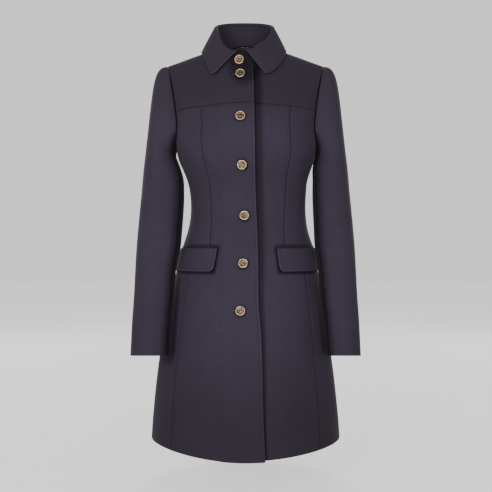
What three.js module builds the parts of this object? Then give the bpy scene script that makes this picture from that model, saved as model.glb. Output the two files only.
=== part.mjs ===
// A woman's fitted single-breasted overcoat in wool melton, filled out as if worn.
// Millimetres, +Z up, front towards -Y, the wearer's left towards +X.
// The origin lies midway between the shoulders, at the height of the neck seam's side points.
import * as THREE from 'three';

// Cloth: melton, interlining and lining as one wall
const WALL = 2.6;
const SEAM_GAP = 0.3;
const LAYER_AIR = 0.8;
const LAP_LIFT = WALL + LAYER_AIR;

// Level sections of the body, from the chest down to the hem: half width, depth to the
// front and to the back, sideways sway, and the power that squares the oval
const BODY = [
  { z: -120, width: 154, front: 122, back: 114, sway: 0, square: 2.3 },
  { z: -183, width: 156, front: 132, back: 115, sway: 0, square: 2.3 },
  { z: -216, width: 156, front: 135, back: 112, sway: 1, square: 2.3 },
  { z: -243, width: 152, front: 131, back: 106, sway: 2, square: 2.3 },
  { z: -269, width: 142, front: 123, back: 99, sway: 3, square: 2.25 },
  { z: -295, width: 133, front: 112, back: 92, sway: 4, square: 2.2 },
  { z: -322, width: 129, front: 104, back: 87, sway: 5, square: 2.2 },
  { z: -346, width: 127.5, front: 100, back: 85, sway: 5, square: 2.2 },
  { z: -376, width: 129, front: 101, back: 87, sway: 5, square: 2.2 },
  { z: -402, width: 134, front: 107, back: 92, sway: 4, square: 2.2 },
  { z: -444, width: 148, front: 120, back: 106, sway: 3, square: 2.2 },
  { z: -490, width: 158, front: 131, back: 120, sway: 2, square: 2.2 },
  { z: -558, width: 171, front: 143, back: 135, sway: 1, square: 2.15 },
  { z: -684, width: 192, front: 156, back: 155, sway: 0, square: 2.05 },
  { z: -805, width: 206, front: 169, back: 174, sway: 0, square: 1.95 },
  { z: -880, width: 212, front: 176, back: 185, sway: 0, square: 1.9 },
];

// Seams by height, as parts of the half width: the princess seams in front and behind, and
// the line that runs from the armhole's corner to the side-panel seam below the pocket
const SEAMS = [
  { z: -183, princess: 0.595, panel: 0.962, back: 0.6 },
  { z: -275, princess: 0.619, panel: 0.93, back: 0.56 },
  { z: -346, princess: 0.627, panel: 0.88, back: 0.52 },
  { z: -410, princess: 0.576, panel: 0.82, back: 0.53 },
  { z: -441, princess: 0.535, panel: 0.795, back: 0.55 },
  { z: -684, princess: 0.42, panel: 0.771, back: 0.57 },
  { z: -880, princess: 0.37, panel: 0.742, back: 0.58 },
];

// Closing edge of the right front, which laps over the left, across the centre
const LAP_EDGE = [
  { z: -183, x: 18.2 },
  { z: -307, x: 20.3 },
  { z: -445, x: 25.3 },
  { z: -560, x: 26.5 },
  { z: -620, x: 31.5 },
  { z: -684, x: 33.5 },
  { z: -780, x: 35.7 },
  { z: -880, x: 39.5 },
];
const UNDERLAP_X = -36;
const LAP_RISE = { from: -62, to: -42 };
const LAP_DRIFT = 0.025;

// Rows of the body from hem to chest line. The pocket line carries the step in the front seam.
const HEM_Z = -862;
const HEM_DROP = { right: 13, left: 10 };
const POCKET_Z = -441;
const CHEST_Z = -183;
const LEVELS = [
  HEM_Z, -805, -744, -684, -621, -558, -498, POCKET_Z,
  -402, -374, -346, -320, -295, -269, -243, -212, CHEST_Z,
];
const POCKET_ROW = LEVELS.indexOf(POCKET_Z);
const CHEST_ROW = LEVELS.length - 1;
const YOKE_ROW = CHEST_ROW + 2;
const TOP_ROW = YOKE_ROW + 6;

// Columns of one half, from the front edge to the side seam; the back mirrors them
const NECK_COLUMN = 6;
const PRINCESS_COLUMN = 8;
const ARMHOLE_COLUMN = 10;
const SIDE_COLUMN = 13;
const BACK_COLUMN = 2 * SIDE_COLUMN;

// Armhole: how far its bottom curve dips below the chest line, and where that dip dies out
const ARMHOLE_DIP = 37;
const DIP_END_Z = -300;

// Shoulders: ridge over each shoulder, and the arcs that leave it to the front and back
const RIDGE = { y: 5, tipX: 176, tipZ: -30.5, neckX: 68, slope: 0.35 };
const SHOULDER_ARC = {
  front: { rise: 44, riseOut: 44, reach: 45, reachOut: 40, up: 13 },
  back: { rise: 110, riseOut: 50, reach: 95, reachOut: 40, up: 29 },
  inset: 6,
  sink: 10,
};
const YOKE_Z = { centre: -136, armhole: -142 };

// Neck seam as an oval in plan
const NECK_OVAL = { halfWidth: RIDGE.neckX, front: 80, back: 57 };

// Collar roll line: an oval in plan, with its height by angle from the front on each side
const ROLL_OVAL = { halfWidth: 63, x: -3, y: 0, front: 62, back: 62 };
const ROLL_HEIGHT = [
  { angle: -40, right: -13, left: -13 },
  { angle: 0, right: -12, left: -12 },
  { angle: 14, right: -12.5, left: -8 },
  { angle: 24, right: -11, left: 0 },
  { angle: 36, right: -2, left: 8 },
  { angle: 48, right: 10, left: 16.5 },
  { angle: 60, right: 30, left: 27 },
  { angle: 75, right: 46, left: 42 },
  { angle: 90, right: 57, left: 57 },
  { angle: 120, right: 71, left: 71 },
  { angle: 150, right: 80.5, left: 80.5 },
  { angle: 180, right: 83.5, left: 83.5 },
];
const ROLL_RADIUS = WALL + 1;
const STAND_TOP_DROP = 4;

// Collar leaf: its outer edge by the roll angle it hangs from, as a distance out from the
// middle and a way over the shoulder: 0 at the chest, 1 on the ridge, 2 at the back's chest
// line. The first row of each is the tip, and its angle the leaf's end on the roll line.
const LEAF_EDGE_RIGHT = [
  { angle: 19, out: 74, way: 0.54 },
  { angle: 42, out: 86, way: 0.67 },
  { angle: 65, out: 95, way: 0.82 },
  { angle: 90, out: 98, way: 0.98 },
  { angle: 120, out: 87, way: 1.11 },
  { angle: 150, out: 56, way: 1.22 },
  { angle: 165, out: 30, way: 1.3 },
  { angle: 180, out: 0, way: 1.36 },
];
const LEAF_EDGE_LEFT = [
  { angle: 4, out: 41, way: 0.483 },
  { angle: 24, out: 57, way: 0.535 },
  { angle: 46, out: 76, way: 0.66 },
  { angle: 68, out: 88, way: 0.815 },
  { angle: 90, out: 90, way: 0.97 },
  { angle: 120, out: 82, way: 1.11 },
  { angle: 150, out: 54, way: 1.22 },
  { angle: 165, out: 29, way: 1.3 },
  { angle: 180, out: 0, way: 1.36 },
];
const LEAF_FALL_ROWS = 4;
const LEAF_BULGE = 0.5;
const LEAF_AIR = 1.6;
const ROLL_ARC = { inner: 180, outer: 25, steps: 3 };
const STAND_ROWS = 3;
const STAND_FOOT_GAP = 0.6;
const STAND_END_SLANT = 12;

// Sleeves, by height of the tube's middle: centre outward and forward, half width and depth,
// the slope of the section towards the front, and how much of each side's swing it takes
const SLEEVE = [
  { z: -240, x: 190, y: -4, width: 35.5, depth: 52, tilt: 0, swing: 0 },
  { z: -262, x: 187.8, y: -7, width: 39.9, depth: 54, tilt: 0.01, swing: 0.4 },
  { z: -285, x: 187, y: -10, width: 42.5, depth: 54.5, tilt: 0.02, swing: 1 },
  { z: -320, x: 188.5, y: -17, width: 43, depth: 54, tilt: 0.04, swing: 1 },
  { z: -360, x: 190.6, y: -29, width: 43.2, depth: 52, tilt: 0.06, swing: 1 },
  { z: -400, x: 192.3, y: -44, width: 43.2, depth: 50, tilt: 0.08, swing: 1 },
  { z: -440, x: 193.2, y: -60, width: 43.2, depth: 47, tilt: 0.1, swing: 1 },
  { z: -490, x: 195.4, y: -78, width: 41.4, depth: 44, tilt: 0.12, swing: 1 },
  { z: -540, x: 197.2, y: -92, width: 40.1, depth: 43, tilt: 0.13, swing: 1 },
  { z: -600, x: 200.5, y: -102, width: 39.6, depth: 42, tilt: 0.14, swing: 1 },
  { z: -668, x: 203.5, y: -108, width: 39, depth: 41, tilt: 0.145, swing: 1 },
];
const SLEEVE_ROWS = { cap: 7, tube: 11 };
const SLEEVE_SWING = { right: 2.5, left: -2.5 };
const CAP = { out: 37, up: 1, forward: 18, shoulderDrop: 155, underDrop: 6, ease: 1.25 };
const FRONT_SEAM_ANGLE = 148;
const BACK_SEAM_ANGLE = 258;

// Pocket flaps, on the front from near the princess seam round to the side
const FLAP = { front: 62, slant: 7, corner: 10, height: 50, endAngle: 95, wall: 3, columns: 9 };
const FLAP_ROWS = [0, 2, 5, 10, 30, FLAP.height];

// Buttons: shank buttons with a raised rim, the first on the collar stand, by its angle and
// share of the stand's height, the others down the right front
const BUTTON = { radius: 10.3, shank: 3, shankHeight: 1.4, edge: 2.3, height: 4.4, dish: 1.2, sides: 16 };
const STAND_BUTTON = { angle: 10, share: 0.38 };
const FRONT_BUTTONS = [
  { x: -11.8, z: -71 },
  { x: -11, z: -168 },
  { x: -7.2, z: -266 },
  { x: -2.6, z: -373 },
  { x: -5.3, z: -474 },
  { x: -10.6, z: -571 },
];

const DEGREE = Math.PI / 180;
const UP = new THREE.Vector3(0, 0, 1);
const vec = (x, y, z) => new THREE.Vector3(x, y, z);
const lerp = THREE.MathUtils.lerp;
const smooth = THREE.MathUtils.smoothstep;

// Smooth curve through one column of a table, along another column
function curveOf(rows, along, key) {
  const slopes = rows.map((row, i) => {
    const before = rows[Math.max(i - 1, 0)];
    const after = rows[Math.min(i + 1, rows.length - 1)];
    return (after[key] - before[key]) / (after[along] - before[along]);
  });
  const falling = rows[0][along] > rows[1][along];
  return (value) => {
    let i = 0;
    while (i < rows.length - 2 && (falling ? value < rows[i + 1][along] : value > rows[i + 1][along])) {
      i += 1;
    }
    const step = rows[i + 1][along] - rows[i][along];
    const s = (value - rows[i][along]) / step;
    const rise = s * s * (3 - 2 * s);
    const start = s * (1 - s) * (1 - s) * step * slopes[i];
    const end = s * s * (s - 1) * step * slopes[i + 1];
    return lerp(rows[i][key], rows[i + 1][key], rise) + start + end;
  };
}

// One curve for each column of a table but the one they run along
function curvesOf(rows, along) {
  const keys = Object.keys(rows[0]).filter((key) => key !== along);
  return Object.fromEntries(keys.map((key) => [key, curveOf(rows, along, key)]));
}

const body = curvesOf(BODY, 'z');
const seams = curvesOf(SEAMS, 'z');
const lapEdge = curveOf(LAP_EDGE, 'z', 'x');
const rollHeight = curvesOf(ROLL_HEIGHT, 'angle');
const sleeve = curvesOf(SLEEVE, 'z');

// Value between low and high at which a rising function reaches the target
function solve(low, high, target, rising) {
  for (let i = 0; i < 40; i += 1) {
    const middle = (low + high) / 2;
    if (rising(middle) < target) {
      low = middle;
    } else {
      high = middle;
    }
  }
  return (low + high) / 2;
}

// Point of a level section. The angle runs from the centre front over the given side.
function ring(side, angle, z) {
  const power = body.square(z);
  const depth = Math.cos(angle) > 0 ? body.front(z) : body.back(z);
  const across = Math.abs(Math.sin(angle)) / body.width(z);
  const along = Math.abs(Math.cos(angle)) / depth;
  const radius = (across ** power + along ** power) ** (-1 / power);
  return vec(body.sway(z) + side * radius * Math.sin(angle), -radius * Math.cos(angle), z);
}

// Angle at which a level section is a given distance out from its middle
function angleOut(out, z, behind) {
  const power = body.square(z);
  const part = Math.min(Math.abs(out) / body.width(z), 1);
  const depth = behind ? body.back(z) : body.front(z);
  const angle = Math.atan2(out, depth * (1 - part ** power) ** (1 / power));
  return behind ? Math.PI - angle : angle;
}

const ARMHOLE_X = body.width(CHEST_Z) * seams.panel(CHEST_Z);
const NECK_PART = RIDGE.neckX / RIDGE.tipX;

// Shoulder surface from the chest line over to the ridge. The part runs from the centre, 0, to
// the armhole, 1, and the way from the chest line, 0, to the ridge, 1. The ridge is straight
// over the shoulder and rounds over inside the neck.
function shoulder(side, part, way, behind) {
  const start = ring(side, angleOut(part * ARMHOLE_X, CHEST_Z, behind), CHEST_Z);
  const below = ring(side, angleOut(part * ARMHOLE_X, CHEST_Z - 10, behind), CHEST_Z - 10);
  const facing = behind ? 1 : -1;
  const arc = behind ? SHOULDER_ARC.back : SHOULDER_ARC.front;
  const out = Math.abs(part);
  const rise = lerp(arc.rise, arc.riseOut, out * out);
  const reach = lerp(arc.reach, arc.reachOut, out * out);
  const inNeck = Math.max(0, 1 - (out / NECK_PART) ** 2) ** 1.5;
  const ridgeOut = out < NECK_PART ? NECK_PART * (1 + (out / NECK_PART) ** 2) / 2 : out;
  const ridgeZ = RIDGE.tipZ + RIDGE.slope * RIDGE.tipX * (1 - ridgeOut);
  const end = vec(side * part * RIDGE.tipX, RIDGE.y, ridgeZ + arc.up * inNeck);
  const leave = start.clone().addScaledVector(start.clone().sub(below), rise / 10);
  leave.x = start.x;
  const inset = side * part * SHOULDER_ARC.inset;
  const arrive = end.clone().add(vec(-inset, facing * reach, -SHOULDER_ARC.sink * out));
  return new THREE.CubicBezierCurve3(start, leave, arrive, end).getPoint(way);
}

// Way up the shoulder surface at which it reaches the yoke seam
function yokeWay(part) {
  const height = lerp(YOKE_Z.centre, YOKE_Z.armhole, Math.min(1, Math.abs(part)));
  return solve(0, 1, height, (way) => shoulder(1, part, way, false).z);
}

// Way up the shoulder surface at which the neck seam cuts it, or the ridge outside the neck
function topWay(part, behind) {
  const reach = behind ? NECK_OVAL.back : NECK_OVAL.front;
  const inside = (way) => {
    const at = shoulder(1, part, way, behind);
    return -Math.hypot(at.x / NECK_OVAL.halfWidth, (at.y - RIDGE.y) / reach);
  };
  return inside(1) < -0.9999 ? 1 : solve(0, 1, -1, inside);
}

// Distance out from the middle of the front edge on each side, at a height
function edgeOut(side, z) {
  const x = side < 0 ? lapEdge(z) : UNDERLAP_X;
  return side * (x - body.sway(z));
}

// Shoulder part of a column inside the neck, at even angles round the neck oval
function neckPart(column, edge) {
  const start = Math.asin(edge / NECK_PART);
  return NECK_PART * Math.sin(lerp(start, Math.PI / 2, column / NECK_COLUMN));
}

// Distance out from the middle of a column between the front edge and the princess seam
function frontOut(side, column, z) {
  const edge = edgeOut(side, z);
  const princess = seams.princess(z) * body.width(z);
  const topEdge = edgeOut(side, CHEST_Z) / ARMHOLE_X;
  const topPrincess = seams.princess(CHEST_Z) * body.width(CHEST_Z) / ARMHOLE_X;
  const share = column <= NECK_COLUMN
    ? neckPart(column, topEdge)
    : lerp(NECK_PART, topPrincess, (column - NECK_COLUMN) / (PRINCESS_COLUMN - NECK_COLUMN));
  return lerp(edge, princess, (share - topEdge) / (topPrincess - topEdge));
}

// The same at the back, from the centre-back seam to the back princess seam
function backOut(column, z) {
  const princess = seams.back(z) * body.width(z);
  const topPrincess = seams.back(CHEST_Z) * body.width(CHEST_Z) / ARMHOLE_X;
  const share = column <= NECK_COLUMN
    ? neckPart(column, 0)
    : lerp(NECK_PART, topPrincess, (column - NECK_COLUMN) / (PRINCESS_COLUMN - NECK_COLUMN));
  return princess * share / topPrincess;
}

// Angle of a column at a height, for the rows below the chest line
function columnAngle(side, column, z) {
  const behind = column > SIDE_COLUMN;
  const index = behind ? BACK_COLUMN - column : column;
  if (index <= PRINCESS_COLUMN) {
    return angleOut(behind ? backOut(index, z) : frontOut(side, index, z), z, behind);
  }
  const inner = behind ? seams.back(z) : seams.princess(z);
  const princess = angleOut(inner * body.width(z), z, behind);
  const panel = angleOut(seams.panel(z) * body.width(z), z, behind);
  if (index <= ARMHOLE_COLUMN) {
    return lerp(princess, panel, (index - PRINCESS_COLUMN) / (ARMHOLE_COLUMN - PRINCESS_COLUMN));
  }
  return lerp(panel, Math.PI / 2, (index - ARMHOLE_COLUMN) / (SIDE_COLUMN - ARMHOLE_COLUMN));
}

// Height of a row at a column: the hem falls towards the front and back, the armhole dips
function rowHeight(side, column, row) {
  const z = LEVELS[row];
  const fromSide = Math.min(1, Math.abs(column - SIDE_COLUMN) / (SIDE_COLUMN - ARMHOLE_COLUMN));
  const dip = ARMHOLE_DIP * Math.cos(fromSide * Math.PI / 2);
  const dipped = z - dip * THREE.MathUtils.clamp((z - DIP_END_Z) / (CHEST_Z - DIP_END_Z), 0, 1);
  const drop = side < 0 && column < SIDE_COLUMN ? HEM_DROP.right : HEM_DROP.left;
  const fall = drop * Math.cos(columnAngle(side, column, z)) ** 2;
  return dipped - fall * smooth(-z, -POCKET_Z, -HEM_Z);
}

// Reference surface of the body at a column and row
function bodyPoint(side, column, row) {
  if (column > BACK_COLUMN) {
    return bodyPoint(-side, 2 * BACK_COLUMN - column, row);
  }
  if (row <= CHEST_ROW) {
    const z = rowHeight(side, column, row);
    return ring(side, columnAngle(side, column, z), z);
  }
  const behind = column > SIDE_COLUMN;
  const index = behind ? BACK_COLUMN - column : column;
  const chest = ring(1, columnAngle(side, column, CHEST_Z), CHEST_Z);
  let part = chest.x / ARMHOLE_X;
  if (!behind && side < 0 && index < NECK_COLUMN) {
    part += LAP_DRIFT * (1 - index / NECK_COLUMN) * (row - CHEST_ROW) / (TOP_ROW - CHEST_ROW);
  }
  const yoke = yokeWay(part);
  const top = topWay(part, behind);
  const way = row <= YOKE_ROW
    ? yoke * (row - CHEST_ROW) / (YOKE_ROW - CHEST_ROW)
    : lerp(yoke, top, (row - YOKE_ROW) / (TOP_ROW - YOKE_ROW));
  return shoulder(side, part, way, behind);
}

// Whether the body has cloth at a column and row: none inside the armhole
function onBody(column, row) {
  const inArmhole = column > ARMHOLE_COLUMN && column < BACK_COLUMN - ARMHOLE_COLUMN;
  return column >= 0 && row >= 0 && row <= TOP_ROW && !(inArmhole && row > CHEST_ROW);
}

// Neighbour across the shoulder seam, where front and back meet at the ridge
function acrossRidge(side, column) {
  const outside = Math.min(column, BACK_COLUMN - column) >= NECK_COLUMN;
  return outside ? bodyPoint(side, BACK_COLUMN - column, TOP_ROW - 1) : null;
}

// Direction out of the body at a column and row
function bodyNormal(side, column, row) {
  const here = bodyPoint(side, column, row);
  const left = onBody(column - 1, row) ? bodyPoint(side, column - 1, row) : here;
  const right = onBody(column + 1, row) ? bodyPoint(side, column + 1, row) : here;
  const lower = row > 0 ? bodyPoint(side, column, row - 1) : here;
  let upper = onBody(column, row + 1) ? bodyPoint(side, column, row + 1) : here;
  if (row === TOP_ROW) {
    upper = acrossRidge(side, column) ?? here;
  }
  const around = right.clone().sub(left);
  return around.cross(upper.clone().sub(lower)).multiplyScalar(side).normalize();
}

// How far the right front is raised to lie over the left one
function lapLift(side, x) {
  return side < 0 ? LAP_LIFT * smooth(x, LAP_RISE.from, LAP_RISE.to) : 0;
}

// The same for a point of the collar, which isn't raised behind the shoulders
function collarLift(side, point) {
  return point.y < 0 ? lapLift(side, point.x) : 0;
}

// A grid of places on one face of a cloth and the directions out of it
class Cloth {
  constructor(columns, rows, place, wall = WALL) {
    this.wall = wall;
    this.places = [];
    for (let i = 0; i <= columns; i += 1) {
      this.places.push([]);
      for (let j = 0; j <= rows; j += 1) {
        this.places[i].push(place(i, j));
      }
    }
  }

  // Fills in each missing direction from the places round it
  addNormals(loop = false) {
    const columns = this.places.length;
    const rows = this.places[0].length;
    const column = (i) => (loop ? (i + columns - 1) % (columns - 1) : THREE.MathUtils.clamp(i, 0, columns - 1));
    const row = (j) => THREE.MathUtils.clamp(j, 0, rows - 1);
    for (let i = 0; i < columns; i += 1) {
      for (let j = 0; j < rows; j += 1) {
        const around = this.places[column(i + 1)][j].point.clone();
        around.sub(this.places[column(i - 1)][j].point);
        const along = this.places[i][row(j + 1)].point.clone();
        along.sub(this.places[i][row(j - 1)].point);
        this.places[i][j].normal = around.cross(along).normalize();
      }
    }
    return this;
  }
}

// Closed wall over chosen cells of a cloth, each edge drawn in by half a seam gap
function panel(cloth, cells) {
  const has = new Set(cells.map(([i, j]) => `${i},${j}`));
  const pulls = new Map();
  const borders = [];
  const addBorder = (a, b) => {
    const from = cloth.places[a[0]][a[1]];
    const to = cloth.places[b[0]][b[1]];
    const inward = from.normal.clone().cross(to.point.clone().sub(from.point)).normalize();
    borders.push([a, b]);
    for (const corner of [a, b]) {
      const key = corner.join();
      pulls.set(key, [...(pulls.get(key) ?? []), inward]);
    }
  };
  for (const [i, j] of cells) {
    const sides = [
      [[i, j], [i + 1, j], i, j - 1],
      [[i + 1, j], [i + 1, j + 1], i + 1, j],
      [[i + 1, j + 1], [i, j + 1], i, j + 1],
      [[i, j + 1], [i, j], i - 1, j],
    ];
    for (const [a, b, nextI, nextJ] of sides) {
      if (!has.has(`${nextI},${nextJ}`)) {
        addBorder(a, b);
      }
    }
  }
  const numbers = new Map();
  const positions = [];
  const number = ([i, j], inner) => {
    const key = `${i},${j},${inner}`;
    if (!numbers.has(key)) {
      const { point, normal } = cloth.places[i][j];
      const at = point.clone();
      const inward = pulls.get(`${i},${j}`);
      if (inward) {
        const sum = inward.reduce((total, one) => total.add(one), vec(0, 0, 0));
        at.addScaledVector(sum, SEAM_GAP / Math.max(sum.lengthSq(), 1) * inward.length / 2);
      }
      at.addScaledVector(normal, inner ? -cloth.wall : 0);
      numbers.set(key, positions.length / 3);
      positions.push(at.x, at.y, at.z);
    }
    return numbers.get(key);
  };
  const triangles = [];
  const addQuad = (a, b, c, d) => triangles.push(a, b, c, a, c, d);
  for (const [i, j] of cells) {
    let corners = [[i, j], [i + 1, j], [i + 1, j + 1], [i, j + 1]];
    const [a, b, c, d] = corners.map(([x, y]) => cloth.places[x][y].point);
    if (b.distanceTo(d) < a.distanceTo(c)) {
      corners = [...corners.slice(1), corners[0]];
    }
    const outer = corners.map((corner) => number(corner, 0));
    const inner = corners.map((corner) => number(corner, 1));
    addQuad(...outer);
    addQuad(...inner.reverse());
  }
  for (const [a, b] of borders) {
    addQuad(number(b, 0), number(a, 0), number(a, 1), number(b, 1));
  }
  const geometry = new THREE.BufferGeometry();
  geometry.setAttribute('position', new THREE.Float32BufferAttribute(positions, 3));
  geometry.setIndex(triangles);
  return geometry;
}

// Cells of a block of columns and rows
function block(fromColumn, toColumn, fromRow, toRow) {
  const cells = [];
  for (let i = fromColumn; i < toColumn; i += 1) {
    for (let j = fromRow; j < toRow; j += 1) {
      cells.push([i, j]);
    }
  }
  return cells;
}

const MELTON = { color: 0x3a3440, roughness: 0.92, metalness: 0 };
const BRASS = { color: 0x9c7c4e, roughness: 0.32, metalness: 0.85 };
const coat = new THREE.Group();

function addMesh(name, geometry, finish = MELTON) {
  const mesh = new THREE.Mesh(geometry, new THREE.MeshStandardMaterial(finish));
  mesh.name = name;
  coat.add(mesh);
  return mesh;
}

// One half of the body as a cloth, turned so that its cells face out on either side
function bodyCloth(side) {
  const columns = BACK_COLUMN;
  return new Cloth(columns, TOP_ROW, (i, row) => {
    const column = side > 0 ? i : columns - i;
    if (!onBody(column, row)) {
      return null;
    }
    const normal = bodyNormal(side, column, row);
    const point = bodyPoint(side, column, row);
    const lift = column <= ARMHOLE_COLUMN ? lapLift(side, point.x) : 0;
    point.addScaledVector(normal, lift);
    return { point, normal };
  });
}

function addBody(side, name) {
  const cloth = bodyCloth(side);
  const columns = BACK_COLUMN;
  const part = (fromColumn, toColumn, fromRow, toRow) => (side > 0
    ? block(fromColumn, toColumn, fromRow, toRow)
    : block(columns - toColumn, columns - fromColumn, fromRow, toRow));
  const backArmhole = columns - ARMHOLE_COLUMN;
  const backPrincess = columns - PRINCESS_COLUMN;
  addMesh(`front_${name}`, panel(cloth, [
    ...part(0, PRINCESS_COLUMN, 0, YOKE_ROW),
    ...part(PRINCESS_COLUMN, ARMHOLE_COLUMN, 0, POCKET_ROW),
  ]));
  addMesh(`side_front_${name}`, panel(cloth, [
    ...part(PRINCESS_COLUMN, ARMHOLE_COLUMN, POCKET_ROW, YOKE_ROW),
    ...part(ARMHOLE_COLUMN, SIDE_COLUMN, 0, CHEST_ROW),
  ]));
  addMesh(`front_yoke_${name}`, panel(cloth, part(0, ARMHOLE_COLUMN, YOKE_ROW, TOP_ROW)));
  addMesh(`side_back_${name}`, panel(cloth, [
    ...part(SIDE_COLUMN, backArmhole, 0, CHEST_ROW),
    ...part(backArmhole, backPrincess, 0, TOP_ROW),
  ]));
  addMesh(`back_${name}`, panel(cloth, part(backPrincess, columns, 0, TOP_ROW)));
}

// Edge of the armhole as a loop from the shoulder tip down the front and up the back
function armholeLoop(side) {
  const loop = [];
  for (let row = TOP_ROW; row > CHEST_ROW; row -= 1) {
    loop.push(bodyPoint(side, ARMHOLE_COLUMN, row));
  }
  for (let column = ARMHOLE_COLUMN; column <= BACK_COLUMN - ARMHOLE_COLUMN; column += 1) {
    loop.push(bodyPoint(side, column, CHEST_ROW));
  }
  for (let row = CHEST_ROW + 1; row < TOP_ROW; row += 1) {
    loop.push(bodyPoint(side, BACK_COLUMN - ARMHOLE_COLUMN, row));
  }
  return loop;
}

// Turn of each armhole point round the sleeve: 0 outside, a quarter in front, a half inside
function armholeTurns(loop) {
  const lengths = [0];
  for (let k = 1; k <= loop.length; k += 1) {
    lengths.push(lengths[k - 1] + loop[k % loop.length].distanceTo(loop[k - 1]));
  }
  const under = lengths[loop.length / 2];
  const whole = lengths[loop.length];
  return lengths.map((length) => Math.PI * (length <= under
    ? length / under
    : 1 + (length - under) / (whole - under)));
}

// Point of a sleeve section
function sleeveRing(side, turn, z) {
  const widen = sleeve.swing(z) * (side < 0 ? SLEEVE_SWING.right : SLEEVE_SWING.left);
  const forward = Math.sin(turn) * sleeve.depth(z);
  const out = sleeve.x(z) - widen + Math.cos(turn) * (sleeve.width(z) + widen);
  return vec(side * out, sleeve.y(z) - forward, z + forward * sleeve.tilt(z));
}

// Sleeve surface: a cap from the armhole to the first section, then the tube to the cuff
function sleevePoint(side, start, turn, row) {
  const top = SLEEVE[0].z;
  const cuff = SLEEVE[SLEEVE.length - 1].z;
  if (row > SLEEVE_ROWS.cap) {
    return sleeveRing(side, turn, lerp(top, cuff, (row - SLEEVE_ROWS.cap) / SLEEVE_ROWS.tube));
  }
  const outer = (1 + Math.cos(turn)) / 2;
  const leave = vec(
    side * CAP.out * outer ** 0.7,
    -CAP.forward * Math.sin(turn),
    CAP.up * outer ** 4 - CAP.underDrop * (1 - outer),
  );
  const seamPoint = start.clone().addScaledVector(leave.clone().normalize(), SEAM_GAP);
  const end = sleeveRing(side, turn, top);
  const drop = lerp(CAP.underDrop, CAP.shoulderDrop, outer);
  const below = sleeveRing(side, turn, top - 1).sub(end);
  const arrive = end.clone().addScaledVector(below, -drop);
  const curve = new THREE.CubicBezierCurve3(seamPoint, start.clone().add(leave), arrive, end);
  return curve.getPoint((row / SLEEVE_ROWS.cap) ** CAP.ease);
}

function addSleeve(side, name) {
  const loop = armholeLoop(side);
  const turns = armholeTurns(loop);
  const count = loop.length;
  const rows = SLEEVE_ROWS.cap + SLEEVE_ROWS.tube;
  const frontSeam = turns.findIndex((turn) => turn >= FRONT_SEAM_ANGLE * DEGREE);
  const backSeam = turns.findIndex((turn) => turn >= BACK_SEAM_ANGLE * DEGREE);
  // Columns start at the back seam, so that each piece is one block of them
  const cloth = new Cloth(count, rows, (i, j) => {
    const k = (side > 0 ? backSeam + i : backSeam + count - i) % count;
    return { point: sleevePoint(side, loop[k], turns[k], j) };
  });
  cloth.addNormals(true);
  const upper = frontSeam + count - backSeam;
  const under = count - upper;
  const upperCells = side > 0 ? block(0, upper, 0, rows) : block(under, count, 0, rows);
  const underCells = side > 0 ? block(upper, count, 0, rows) : block(0, under, 0, rows);
  addMesh(`sleeve_upper_${name}`, panel(cloth, upperCells));
  addMesh(`sleeve_under_${name}`, panel(cloth, underCells));
}

// Part of the shoulder surface at a distance out, part way up it
function partOut(out, way, behind) {
  return out / shoulder(1, 1, way, behind).x;
}

// Point of the shoulder surface at a part and a way, and the direction out of it
function shoulderSpot(side, part, way, behind) {
  const step = 0.01;
  const low = shoulder(side, part, Math.max(way - step, 0), behind);
  const high = shoulder(side, part, Math.min(way + step, 1), behind);
  const around = shoulder(side, part + step, way, behind).sub(shoulder(side, part - step, way, behind));
  const normal = around.cross(high.sub(low)).multiplyScalar(behind ? -side : side).normalize();
  return { point: shoulder(side, part, way, behind), normal };
}

// The same at a distance out and a depth in plan
function shoulderAt(side, out, y) {
  const behind = y > RIDGE.y;
  const sign = behind ? -1 : 1;
  const depthAt = (way) => shoulder(side, partOut(out, way, behind), way, behind).y;
  const way = solve(0, 1, sign * y, (at) => sign * depthAt(at));
  return shoulderSpot(side, partOut(out, way, behind), way, behind);
}

// Direction out of the collar's oval at an angle from the front
function collarOut(side, angle) {
  return vec(side * Math.sin(angle) / ROLL_OVAL.halfWidth, -Math.cos(angle) / ROLL_OVAL.front, 0).normalize();
}

// Top of the collar's roll at an angle from the front, with its directions out and up
function rollFrame(side, angle) {
  const height = side < 0 ? rollHeight.right : rollHeight.left;
  const at = (turn) => {
    const depth = Math.cos(turn) > 0 ? ROLL_OVAL.front : ROLL_OVAL.back;
    const x = ROLL_OVAL.x + side * ROLL_OVAL.halfWidth * Math.sin(turn);
    return vec(x, ROLL_OVAL.y - depth * Math.cos(turn), height(turn / DEGREE));
  };
  const out = collarOut(side, angle);
  const along = at(angle + 0.02).sub(at(angle - 0.02));
  const up = along.cross(out).multiplyScalar(-side).normalize();
  const point = at(angle);
  point.addScaledVector(out, collarLift(side, point));
  return { point, out, up };
}

// Outer face of the collar stand at an angle, and a share of its height from the neck seam.
// It rises to the roll line in front of the right leaf's end, where no leaf covers it.
function standPoint(side, angle, share) {
  const reach = Math.cos(angle) > 0 ? NECK_OVAL.front : NECK_OVAL.back;
  const seam = shoulderAt(side, NECK_OVAL.halfWidth * Math.sin(angle), RIDGE.y - reach * Math.cos(angle));
  const lift = collarLift(side, seam.point);
  const foot = seam.point.clone().addScaledVector(collarOut(side, angle), lift);
  foot.z += STAND_FOOT_GAP + seam.normal.z * lift;
  const bare = side < 0 && angle / DEGREE < LEAF_EDGE_RIGHT[0].angle - 1;
  const roll = rollFrame(side, bare && angle < 0 ? angle + STAND_END_SLANT * DEGREE : angle);
  const drop = bare ? 0 : ROLL_RADIUS + STAND_TOP_DROP + SEAM_GAP;
  return foot.lerp(roll.point.addScaledVector(roll.up, -drop), share);
}

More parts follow.
